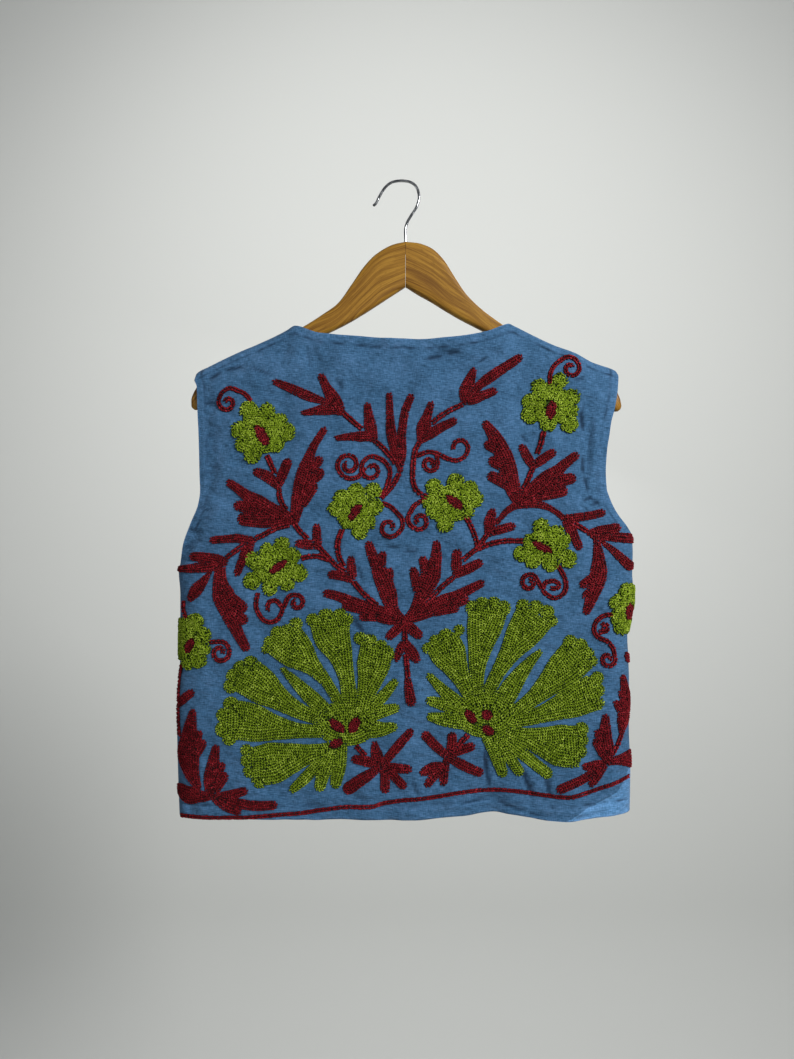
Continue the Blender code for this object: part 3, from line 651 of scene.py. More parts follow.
def backPiece():
    # rows from hem to neck line, columns from side to side; u and v are shares of width and height
    close = (0, 0.02, 0.35, 0.8, 1.4, 2.3, 3.4, 4.9, 6.5, 8.0, 9.5)
    down = spaced(cloth["backStep"], cloth["tall"], close, (0, 2.0, 4.0)) / cloth["tall"]
    near = np.array([0.0, 0.0001, 0.0006, 0.0014, 0.003, 0.0055, 0.009, 0.0135, 0.019, 0.025])
    across = np.concatenate([near, np.linspace(0.025, 0.975, cloth["backColumns"])[1:-1], 1 - near[::-1]])
    u, v = np.meshgrid(across, 1 - down[::-1])
    topX = cloth["tips"][0] + u * (cloth["tips"][1] - cloth["tips"][0])
    z0 = through(cloth["hems"][0] + u * (cloth["hems"][1] - cloth["hems"][0]), hemBack)
    z = z0 + v * (through(topX, topEdge) - z0)
    left, right = through(z, leftEdge), through(z, rightEdge)
    x = left + u * (right - left)
    points = np.stack([x, -outerDepth(x, z, 1), z], -1)
    obj = meshFrom("waistcoat_back", points.reshape(-1, 3), gridFaces(*points.shape[:2]))
    finishCloth(obj, points, "back_panel")


def frontPiece(name, sign, node):
    # rows from hem to shoulder, columns from the free edge to the side; the V neck is the upper free edge
    close = (0, 0.02, 0.35, 0.8, 1.4, 2.3, 3.4, 4.9, 6.5, 9.5)
    down = spaced(cloth["frontStep"], cloth["tall"], close, (0, 2.0, 4.0)) / cloth["tall"]
    near = np.array([0.0, 0.0002, 0.0012, 0.003, 0.006, 0.011, 0.018, 0.027, 0.038, 0.05])
    even = np.linspace(0.012, 0.95, cloth["frontColumns"])[:-1]
    across = np.concatenate([[0.0, 0.004], even, 1 - near[::-1]])
    u, v = np.meshgrid(across, 1 - down[::-1])
    k = 0 if sign < 0 else 1
    neckX, tipX, hemX = cloth["necks"][k], cloth["tips"][k], cloth["hems"][k]
    z0 = through(sign * 10 + u * (hemX - sign * 10), hemFront)
    z = z0 + v * (through(neckX + u * (tipX - neckX), ridge) - z0)
    outline = through(z, leftEdge if sign < 0 else rightEdge)
    hemZ, neckZ = through(sign * 10, hemFront), through(neckX, ridge)
    freeZ = hemZ + v * (neckZ - hemZ)
    rise = np.clip((freeZ - frontNeckDrop) / (neckZ - frontNeckDrop), 0, 1)
    slant = rise - 0.22 * np.sin(math.pi * rise) * (1 - rise)
    free = sign * through(freeZ, frontOpening) + (neckX - sign * 4) * slant
    x = free + u * (outline - free)
    fromFree = np.abs(x - free)
    groove = 0.4 * np.exp(-(((fromFree - 9.4) / 1.2) ** 2))
    turned = cloth["bandThick"] * (1 - ramp(fromFree, 7.5, 9.5)) - groove
    points = np.stack([x, outerDepth(x, z, 2) + turned * ramp((1 - v) * cloth["tall"], 2, 10), z], -1)
    if sign > 0:
        points = points[:, ::-1]
    obj = meshFrom(name, points.reshape(-1, 3), gridFaces(*points.shape[:2]))
    finishCloth(obj, points, node)


# Yarn work. Widths and pitches are in millimetres on the cloth.
yarn = {
    "redRow": 2.8, "redPitch": 2.3, "greenRow": 2.9, "greenPitch": 2.4, "curlyRow": 3.3, "curlyPitch": 2.9,
    "seedRow": 2.6, "stemRow": 4.6, "stemPitch": 2.05, "curlRow": 3.9, "hemRow": 3.2,
    "stemApart": 0.28,  # as apart, for stems, whose stitches overlap more
    "stemTurn": 0.18,  # stitches of a stem turn this far to one side and the other, in radians
    "slant": 34.0,  # degrees each strand turns from its row
    "spread": 0.25,  # strand's place beside the row, as a share of the row's width
    "thick": 0.31,  # strand's half width, as a share of the row's width
    "rise": 0.34,  # half height of a strand, as a share of the row's width
    "strand": 1.62,  # length of a strand in pitches
    "pillow": 0.5,  # extra height in the middle of a filled shape
    "apart": 0.58,  # nearest that two stitches may stand, as a share of the row's width
    "inset": 0.7,  # distance of the outermost row from the outline, as a share of the row's width
    "room": 0.72,  # distance from the nearest stitch at which one more fits, as a share of the row's width
    "uneven": 0.095,  # change of tone from stitch to stitch and from strand to strand
}


def clothAt(pixels):
    # photo pixels to distance along the cloth and height; a pixel is smaller where the cloth is nearer
    pixels = np.asarray(pixels, float).reshape(-1, 2)
    depth = np.full(len(pixels), 20.0)
    for _ in range(3):
        size = view["pixel"] * (1 - depth / view["distance"])
        x = view["x"] + (pixels[:, 0] - view["centre"][0]) * size
        z = view["z"] - (pixels[:, 1] - view["centre"][1]) * size
        side = outlineAt(x, z)
        share = np.clip(x / side, 0, 1)
        depth = outerDepth(share * side, z, 1)
    length = lengthTo(x, z, np.ones(len(x), bool)) + np.clip(np.abs(x) - np.abs(side), 0, None)
    return np.stack([np.sign(x) * length, z], 1)


def curveThrough(points, steps=10):
    # smooth curve through its points, each piece a cubic that leaves along the line between its neighbours
    points = np.reshape(points, (-1, 2)).astype(float)
    p = np.concatenate([[2 * points[0] - points[1]], points, [2 * points[-1] - points[-2]]])
    t = (np.arange(steps) / steps)[None, :, None]
    a, b, c, d = p[:-3, None], p[1:-2, None], p[2:-1, None], p[3:, None]
    curve = 0.5 * (2 * b + (c - a) * t + (2 * a - 5 * b + 4 * c - d) * t**2 + (3 * b - a - 3 * c + d) * t**3)
    return np.concatenate([curve.reshape(-1, 2), points[-1:]])


def unit(vectors):
    return vectors / np.maximum(np.linalg.norm(vectors, axis=-1, keepdims=True), 1e-9)


def alongPath(path, at, reach=0.6):
    # places at the given distances along a path, with the direction at each: distance, height, turn
    run = runOf(path)
    here, before, after = (
        np.stack([np.interp(at + step, run, path[:, i]) for i in (0, 1)], 1) for step in (0, -reach, reach))
    step = after - before
    return np.column_stack([here, np.arctan2(step[:, 1], step[:, 0])])


def pathLength(path):
    return np.hypot(*np.diff(path, axis=0).T).sum()


def along(path, pitch):
    # evenly spaced places on a path
    total = pathLength(path)
    count = max(int(round(total / pitch)), 1)
    return alongPath(path, (np.arange(count) + 0.5) * total / count)


def clearance(points, outline):
    # distance to the nearest side of a closed outline, positive inside (odd count of sides to the right)
    start, end = outline, np.roll(outline, -1, 0)
    span = end - start
    gap = points[:, None] - start
    t = np.clip((gap * span).sum(-1) / np.maximum((span**2).sum(-1), 1e-9), 0, 1)
    distance = np.linalg.norm(gap - t[..., None] * span, axis=-1).min(1)
    crossed = (start[:, 1] > points[:, 1, None]) != (end[:, 1] > points[:, 1, None])
    slope = span[:, 0] / np.where(span[:, 1] == 0, 1e-9, span[:, 1])
    at = start[:, 0] + (points[:, 1, None] - start[:, 1]) * slope
    return np.where((crossed & (points[:, 0, None] < at)).sum(1) % 2 == 1, distance, -distance)


def depthIn(points, outlines):
    # distance inside the common outline of several shapes, negative outside all of them
    deepest = np.full(len(points), -9.0)
    for outline in outlines:
        near = ((points > outline.min(0) - 4) & (points < outline.max(0) + 4)).all(1)
        if near.any():
            deepest[near] = np.maximum(deepest[near], clearance(points[near], outline))
    return deepest


work = {}  # stitches by piece: distance along the cloth, height, turn, row width, pitch, lift, bend, tone
covered = []  # colour and outline of each filled shape; the yarn under the stitches is painted on the cloth inside it in its darkest tone, as painted shade in the gaps


def thinned(spots, apart):
    # keeps each place that is far enough from every place kept before it
    kept = np.zeros(len(spots), bool)
    for i, spot in enumerate(spots[:, :2]):
        step = spots[kept, :2] - spot
        kept[i] = not len(step) or (step**2).sum(1).min() > apart * apart
    return spots[kept]


def addStitches(piece, spots, width, pitch, lift=0.0, bend=0.14, tone=0.0, apart=None):
    # leaves out a stitch that would lie on one already there
    if not len(spots):
        return
    placed = np.concatenate([rows[:, :2] for rows in work.get(piece, [])] or [np.zeros((0, 2))])
    gap = np.linalg.norm(spots[:, None, :2] - placed[None], axis=-1).min(1, initial=99.0)
    keep = gap > (apart or yarn["apart"]) * width
    lift = np.broadcast_to(lift, len(spots))[keep]
    spots = spots[keep]
    count = len(spots)
    shade = tone + rng.normal(0, yarn["uneven"], count)
    work.setdefault(piece, []).append(np.column_stack([
        spots, np.full(count, width), np.full(count, pitch), lift, np.full(count, bend), shade]))


def pieceName(colour, spot):
    return colour + ("_left" if spot < 0 else "_right")


def ringOnCloth(outline, step=1.0):
    # pixel outline to cloth millimetres, at even steps, with its inside on the left
    ring = clothAt(outline)
    ring = np.concatenate([ring, ring[:1]])
    ring = alongPath(ring, np.arange(0, pathLength(ring) - step / 2, step))[:, :2]
    after = np.roll(ring, -1, 0)
    return ring if (ring[:, 0] * after[:, 1] - after[:, 0] * ring[:, 1]).sum() > 0 else ring[::-1]


def gridOver(outlines, step):
    # even places over the box of the shapes, as two grids
    corners = np.concatenate(outlines)
    return np.meshgrid(*(np.arange(low, high, step) for low, high in zip(corners.min(0), corners.max(0))))


def echoRows(outlines, row, pitch, levels=99):
    # rows that follow the common outline of the shapes, one inside the other
    rows = []
    for level in range(levels):
        depth, found = (level + yarn["inset"]) * row, []
        for outline in outlines:
            ahead = unit(np.roll(outline, -1, 0) - np.roll(outline, 1, 0))
            spots = outline + ahead[:, ::-1] * (-1, 1) * depth
            keep = np.abs(depthIn(spots, outlines) - depth) < 0.2 * row
            if keep.all():
                found.append(along(np.concatenate([spots, spots[:1]]), pitch))
                continue
            order = np.roll(np.arange(len(spots)), -np.flatnonzero(~keep)[0])
            kept = np.flatnonzero(keep[order])
            for part in np.split(kept, np.flatnonzero(np.diff(kept) > 1) + 1):
                if len(part) > 2:
                    found.append(along(spots[order[part]], pitch))
        if not found:
            break
        rows.extend(found)
    return np.concatenate(rows)


def fill(colour, outlines, row, pitch, holes=()):
    # rows inside one another, then single stitches where a stitch still fits, turned like the nearest one
    outlines = [ringOnCloth(outline) for outline in outlines]
    covered.extend((colour, outline) for outline in outlines)
    spots = echoRows(outlines, row, pitch)
    free = np.stack([grid.ravel() for grid in gridOver(outlines, 0.5 * row)], 1)
    free = free[depthIn(free, outlines) > 0.62 * row]
    for hole in holes:
        spots = spots[clearance(spots[:, :2], hole) < -0.3 * row]
        free = free[clearance(free, hole) < -0.36 * row]
    spots = thinned(spots, yarn["apart"] * row)
    nearest = [np.linalg.norm(spots[:, :2] - spot, axis=1).argmin() for spot in free]
    room = np.linalg.norm(spots[nearest, :2] - free, axis=1)
    extra = []
    while room.max(initial=0) > yarn["room"] * row:
        best = room.argmax()
        extra.append([*free[best], spots[nearest[best], 2]])
        room = np.minimum(room, np.linalg.norm(free - free[best], axis=1))
    spots = np.concatenate([spots, np.reshape(extra, (-1, 3))])
    middle = depthIn(spots[:, :2], outlines)
    lift = yarn["pillow"] * (1 - np.exp(-middle / 3.5)) * (1 if colour == "yarn_red" else 1.3)
    addStitches(pieceName(colour, np.concatenate(outlines)[:, 0].mean()), spots, row, pitch, lift)


def finger(row, flat=False):
    # outline round a smooth line: x, y and width from place to place, ends round or cut square
    row = np.reshape(row, (-1, 3))
    line, widths = curveThrough(row[:, :2], 8), row[:, 2]
    if flat:
        line = np.concatenate([line, line[-1:] + 4.0 * unit(line[-1:] - line[-3:-2])])
    run = runOf(line)
    half = 0.5 * through(run / run[-1], np.stack([np.linspace(0, 1, len(widths)), widths], 1))
    ahead = unit(np.gradient(line, axis=0))
    across = ahead[:, ::-1] * (-1, 1)
    turn = np.radians((60, 30, 0, -30, -60))[:, None]
    sides = [line + across * half[:, None], line[::-1] - (across * half[:, None])[::-1]]
    caps = [] if flat else [
        line[k] + sign * half[k] * (ahead[k] * np.cos(turn) + across[k] * np.sin(turn))
        for k, sign in ((-1, 1), (0, -1))]
    return np.concatenate([sides[0], *caps[:1], sides[1], *caps[1:]])


def disc(x, y, radius, tall=None):
    t = np.linspace(0, 2 * math.pi, 28, endpoint=False)
    return np.stack([x + radius * np.cos(t), y + (tall or radius) * np.sin(t)], 1)


def spray(*fingers):
    # leaves that grow out of one another, worked in red as one shape
    fill("yarn_red", [finger(row) for row in fingers], yarn["redRow"], yarn["redPitch"])


def seed(x0, y0, x1, y1, width, lift):
    # small dark oval of red rows from one end to the other, set into the green work; gives its outline back
    middle, reach = np.array([x0 + x1, y0 + y1]) / 2, math.dist((x0, y0), (x1, y1)) / 2
    turn = math.atan2(y1 - y0, x1 - x0)
    c, s = math.cos(turn), math.sin(turn)
    ring = ringOnCloth(disc(0, 0, reach, width / 2) @ np.array([[c, s], [-s, c]]) + middle)
    axis = clothAt([(x0, y0), (x1, y1)])
    normal = unit(axis[1] - axis[0])[::-1] * (-1, 1)
    rows = [echoRows([ring], yarn["seedRow"], 2.1)] + [along(axis + normal * k, 2.1) for k in (0, 1.6, -1.6)]
    spots = np.concatenate(rows)
    spots = thinned(spots[clearance(spots[:, :2], ring) > 0.9], 1.5)
    addStitches(pieceName("yarn_seeds", ring[:, 0].mean()), spots, yarn["seedRow"], 2.2, lift)
    return ring


def palmette(petals, fingers, lobes, middle, seeds):
    # petals that widen to a scalloped edge, smaller fingers and the middle, worked as one round its seeds
    holes = [seed(*row, 0.75) for row in seeds]
    shapes = [finger(row, flat=True) for row in petals] + [finger(row) for row in fingers]
    shapes += [disc(*row) for row in np.reshape(lobes, (-1, 3))] + [disc(*middle)]
    fill("yarn_green", shapes, yarn["greenRow"], yarn["greenPitch"], holes)


def flower(middle, lobes, seedRow):
    # round lobes about an oval middle; short curled stitches lie every way inside
    outlines = [ringOnCloth(disc(*row)) for row in (middle, *np.reshape(lobes, (-1, 3)))]
    covered.extend(("yarn_green", outline) for outline in outlines)
    row, pitch = yarn["curlyRow"], yarn["curlyPitch"]
    edge = echoRows(outlines, row, pitch * 0.85, levels=1)
    edge = edge + rng.normal(0, 1, edge.shape) * (0.35, 0.35, 0.5)
    step = row * 0.66
    a, z = gridOver(outlines, step)
    a = a + 0.5 * step * (np.arange(len(a)) % 2)[:, None]
    inside = np.stack([a.ravel(), z.ravel()], 1) + rng.normal(0, 0.32, (a.size, 2))
    inside = inside[depthIn(inside, outlines) > row * 0.75]
    centre = np.concatenate(outlines).mean(0)
    around = np.arctan2(*(inside - centre).T[::-1]) + math.pi / 2
    wave = 1.1 * np.sin(inside[:, 0] / 4.1 + 2) * np.cos(inside[:, 1] / 3.7)
    swirl = around + wave + rng.normal(0, 0.7, len(inside))
    spots = thinned(np.concatenate([edge, np.column_stack([inside, swirl])]), row * 0.5)
    spots = spots[clearance(spots[:, :2], seed(*seedRow, 0.9)) < -row * 0.3]
    lift = 0.3 + 0.9 * (1 - np.exp(-depthIn(spots[:, :2], outlines) / 4.0))
    addStitches(pieceName("yarn_flowers", centre[0]), spots, row, pitch, lift, bend=0.2)


def stem(points, width=yarn["stemRow"]):
    # a single row of wide stitches, turned a little to one side and the other
    spots = along(clothAt(curveThrough(points)), yarn["stemPitch"])
    spots[::2, 2] += yarn["stemTurn"]
    spots[1::2, 2] -= yarn["stemTurn"]
    piece = pieceName("yarn_red", spots[:, 0].mean())
    addStitches(piece, spots, width, yarn["stemPitch"] * 1.15, 0.15, apart=yarn["stemApart"])


def curl(tail, centre, radius, turns, way):
    # tail, then a spiral that keeps its radius at first and closes quickly; way is 1 or -1 for its hand
    tail = np.reshape(tail, (-1, 2))
    start = tail[-1] - centre
    t = np.linspace(0, 1, 30)
    turn = math.atan2(start[1], start[0]) + way * 2 * math.pi * turns * t
    size = radius * (1 - 0.8 * t**1.6) + (math.hypot(*start) - radius) * (1 - ramp(t, 0.0, 0.22))
    spiral = centre + np.stack([np.cos(turn), np.sin(turn)], 1) * size[:, None]
    stem(np.concatenate([tail[:-1], spiral]), yarn["curlRow"])


def motifsLeft():
    # In photo pixels. Flower: middle, then x, y and radius of each lobe, then ends and width of its seed.
    # Spray: x, y and width along each leaf, base first. Curl: tail, centre, radius, turns, hand.
    # Palmette: petals and fingers as leaves, then lobes, middle and seeds.
    flower((263, 432, 23, 22), (249, 411, 10, 267, 411, 8.5, 280, 421, 8, 286, 432, 10, 276, 444, 9,
          253, 455, 9, 244, 444, 9, 240, 430, 9.5), (256, 425, 268, 446, 11))
    flower((355, 511, 20, 19), (356, 492, 9, 373, 491, 8.5, 375, 507, 9, 367, 522, 9, 360, 530, 9.5,
          347, 521, 8, 337, 508, 9, 342, 498, 9), (349, 520, 361, 504, 9))
    flower((275, 567, 23, 19), (282, 545, 8.5, 268, 551, 8.5, 254, 560, 9, 252, 581, 9, 270, 588, 8,
          287, 583, 8.5, 299, 573, 9, 292, 556, 9), (269, 573, 288, 561, 8))
    flower((191, 641, 15, 20), (196, 622, 9, 184, 625, 8, 203, 635, 9, 203, 648, 8.5, 199, 660, 8.5,
          189, 663, 7, 184, 652, 9), (187, 653, 194, 638, 8.5))
    spray((341, 409, 9, 325, 402, 7, 308, 396, 10.5, 290, 388, 9.5, 275, 382, 6.5), (340, 410, 12,
          335, 401, 13.5, 327, 388, 10, 321.5, 377, 7.5), (341, 410, 9, 326, 409.5, 12, 313, 411.5, 8.5,
          302, 413.5, 5))
    spray((373, 438, 10, 371, 430, 13, 369, 417, 10, 367.5, 406, 7.5), (374, 436.5, 9, 360, 436.5, 10.5,
          347, 437, 8, 336, 438.5, 5.5))
    spray((401, 472, 5, 398, 458, 11, 392, 436, 10.5, 390, 415, 8, 389.5, 395, 6.5), (400, 472, 5,
          401, 452, 11, 402, 432, 9, 405, 412, 8.5, 411, 397, 7.5))
    spray((278, 486, 8, 268, 477, 11.5, 257, 472, 9), (278, 486, 8, 283, 474, 10.5, 287.5, 463, 10))
    spray((295, 521, 9, 299, 498, 15, 306, 470, 17, 313, 448, 9, 324, 430, 7), (306, 474, 12,
          319, 460.5, 10), (305, 486, 12, 319, 473.5, 12), (302, 502, 13, 312, 487, 12.5), (295, 521, 9,
          272, 512, 18, 252, 499, 18, 240, 490, 11, 230, 483, 8), (262, 509, 16, 239, 506, 11),
          (284, 520, 11, 262, 520, 16, 244, 519, 14))
    spray((317, 545, 10, 317, 536, 9.5, 316.5, 527, 8), (317, 545, 9, 307, 544.5, 10, 299, 543.5, 8.5))
    spray((352, 576, 10, 351.5, 567, 9.5, 351, 559.5, 8), (351, 578, 10, 341, 575.5, 10, 332, 574.5, 9))
    spray((404, 621, 9, 394, 611, 12, 387, 590, 18, 379, 570, 17, 372, 554, 12, 369, 545, 9), (380, 572, 12,
          382.5, 555, 8.5), (386, 592, 14, 390, 571, 7.5), (404, 621, 9, 378, 613, 17, 352, 602, 14,
          338, 596, 11, 327, 593.5, 8.5), (364, 608, 13, 346, 606, 9), (382, 615, 13, 363, 617, 8.5),
          (404, 623, 9, 396, 630, 9.5, 389.5, 636, 9))
    spray((402, 644, 7, 399, 652, 9, 396.5, 659, 6))
    spray((252, 541, 9, 238, 538.5, 9, 225, 539, 8, 213, 540, 7.5), (251, 541, 8, 247, 552, 12, 241, 564, 9,
          237.5, 573, 7.5))
    spray((225, 561, 8, 211, 559, 12, 201, 557, 11, 194, 556.5, 9), (225, 562, 8, 210, 566, 12, 195, 568, 10,
          181, 569, 7), (221, 562, 9, 220.5, 583, 14, 228, 607, 23, 235, 626, 18, 243, 642, 12,
          246, 647, 9.5), (228, 600, 20, 241, 607, 14), (232, 614, 18, 243, 619.5, 11.5))
    spray((210, 573, 4.5, 203, 582, 9, 196, 591, 13, 191, 598, 8))
    spray((191, 693, 8.5, 185, 698, 9, 180, 704, 6))
    spray((200, 790, 5, 192, 772, 16, 189, 753, 22, 190, 733, 15, 193, 712, 7.5), (191, 747, 16,
          199, 734, 8.5), (190, 757, 18, 201, 744, 12))
    spray((212, 795, 9, 212, 779, 17, 213.5, 763, 13, 216, 748, 8), (213, 778, 15, 221.5, 766, 9),
          (213, 787, 17, 223, 777, 12), (213, 796, 7, 199, 796, 12, 189, 794, 18, 181, 788, 11),
          (214, 797, 7, 230, 795, 10.5, 244, 791, 9), (214, 797, 7, 238, 803, 10, 256, 805.5, 10.5,
          273, 805, 9.5), (214, 798, 7, 228, 806.5, 11, 238, 811, 8.5))
    spray((383, 764, 8, 397, 747, 10, 410, 732, 8.5), (382, 765, 8, 377, 755, 12, 374.5, 744, 7),
          (382, 765, 7, 366, 761, 11, 355.5, 759, 9), (381, 767, 6, 362, 779, 12, 349, 788, 13),
          (384, 765, 7, 385, 778, 9.5, 385, 788.5, 10), (384, 765, 8, 395, 777, 9, 403, 785, 9),
          (384, 766, 8, 398, 768, 10, 408, 769, 9))
    for path in (
        (341, 411, 351, 420, 362, 429), (374, 440, 384, 449, 392, 458, 397, 466), (399, 474, 394, 484,
        388, 491, 381, 498), (389, 480, 386, 489, 380, 497), (267, 456, 271, 464, 275, 474), (279, 487,
        280, 498, 285, 508, 292, 516), (294, 522, 299, 530, 308, 539), (319, 547, 327, 556, 337, 566,
        345, 571), (342, 530, 338, 543, 339, 556, 344, 567), (302, 558, 316, 556, 329, 560, 341, 568),
        (354, 582, 363, 593, 376, 604, 390, 612), (289, 525, 275, 529, 263, 535, 252, 540), (244, 545,
        234, 552, 225, 559), (184, 601, 184, 610, 187, 619), (182, 665, 180, 677, 179, 690, 178.5, 706,
        179.5, 736), (356, 746, 362, 752, 369, 759), (405, 624, 405, 634, 405, 643), (406, 655, 407, 666,
        408, 677),
    ):
        stem(path)
    curl((251, 401, 245, 394, 237, 390.5), (227.5, 402.5), 9.5, 1.3, -1)
    curl((389, 482, 390, 470, 384, 461, 375, 457), (371.5, 469.5), 11, 1.2, -1)
    curl((365, 468, 363, 471), (348.5, 465), 12, 1.6, 1)
    curl((382, 503, 391, 507, 399, 515), (389.5, 527.5), 10.5, 1.25, 1)
    stem((258, 593, 256, 603, 258, 612, 264, 620, 272, 622, 279, 618, 283, 609), yarn["curlRow"])
    stem((282, 607, 277, 601, 271, 601, 268, 605, 268, 611), yarn["curlRow"])
    curl((283, 609, 287, 600), (296.5, 602.5), 8, 1.15, 1)
    curl((210, 642, 218, 641.5), (220.5, 652.5), 9.8, 1.35, 1)
    palmette((
        (335, 731, 13, 300, 730.5, 14, 270, 726.5, 23, 245, 721, 38, 230, 720, 41), (330, 722, 12,
        300, 711, 15, 274, 695, 22, 255, 681, 36, 243, 673, 39), (342, 708, 11, 326, 681, 11, 308, 662, 17,
        291, 646, 36, 283, 638, 43), (350, 705, 16, 347, 680, 16, 340.5, 655, 22, 332, 635, 36,
        330, 620, 42), (360, 718, 19, 365, 697, 18, 371, 677, 25, 375, 658, 34, 377, 647, 33), (334, 748, 13,
        305, 754.5, 18, 280, 761, 31, 263, 765, 42, 254, 766, 38),
    ), (
        (330, 714, 13, 310, 696, 16, 294, 680, 12, 283, 669, 5.5), (368, 711, 13, 383, 696, 12,
        394, 683, 9.5), (362, 716, 18, 383, 711, 14, 395, 708, 10), (360, 728, 22, 380, 729, 17,
        393, 727, 10), (322, 760, 12, 306, 777, 12, 293, 789, 8.5), (330, 750, 18, 324, 770, 15,
        320, 786, 11.5), (338, 745, 20, 338, 766, 17, 336, 783, 11.5),
    ), (
        231, 704, 8, 223.5, 715, 7.5, 223, 729, 8, 229.5, 738, 7.5, 251, 664, 8.5, 241, 668, 8, 234, 676, 8,
        231, 686, 7.5, 296, 624, 7, 287, 630, 6, 278, 633, 7.5, 270, 642, 6.5, 266, 649, 5, 313, 620, 7,
        326, 616, 8, 340, 616, 8, 347, 619, 6.5, 360, 638, 6.5, 370, 641, 7.5, 381, 647, 7.5, 389, 655, 6,
        246.5, 750, 6.5, 247, 760, 6.5, 250, 771, 7, 260, 780, 8.5,
    ), (346, 723, 32, 23), ((329, 719.5, 345, 731.5, 9.5), (358.5, 717, 350.5, 733, 10.5),
        (329, 746, 343, 740, 9)))


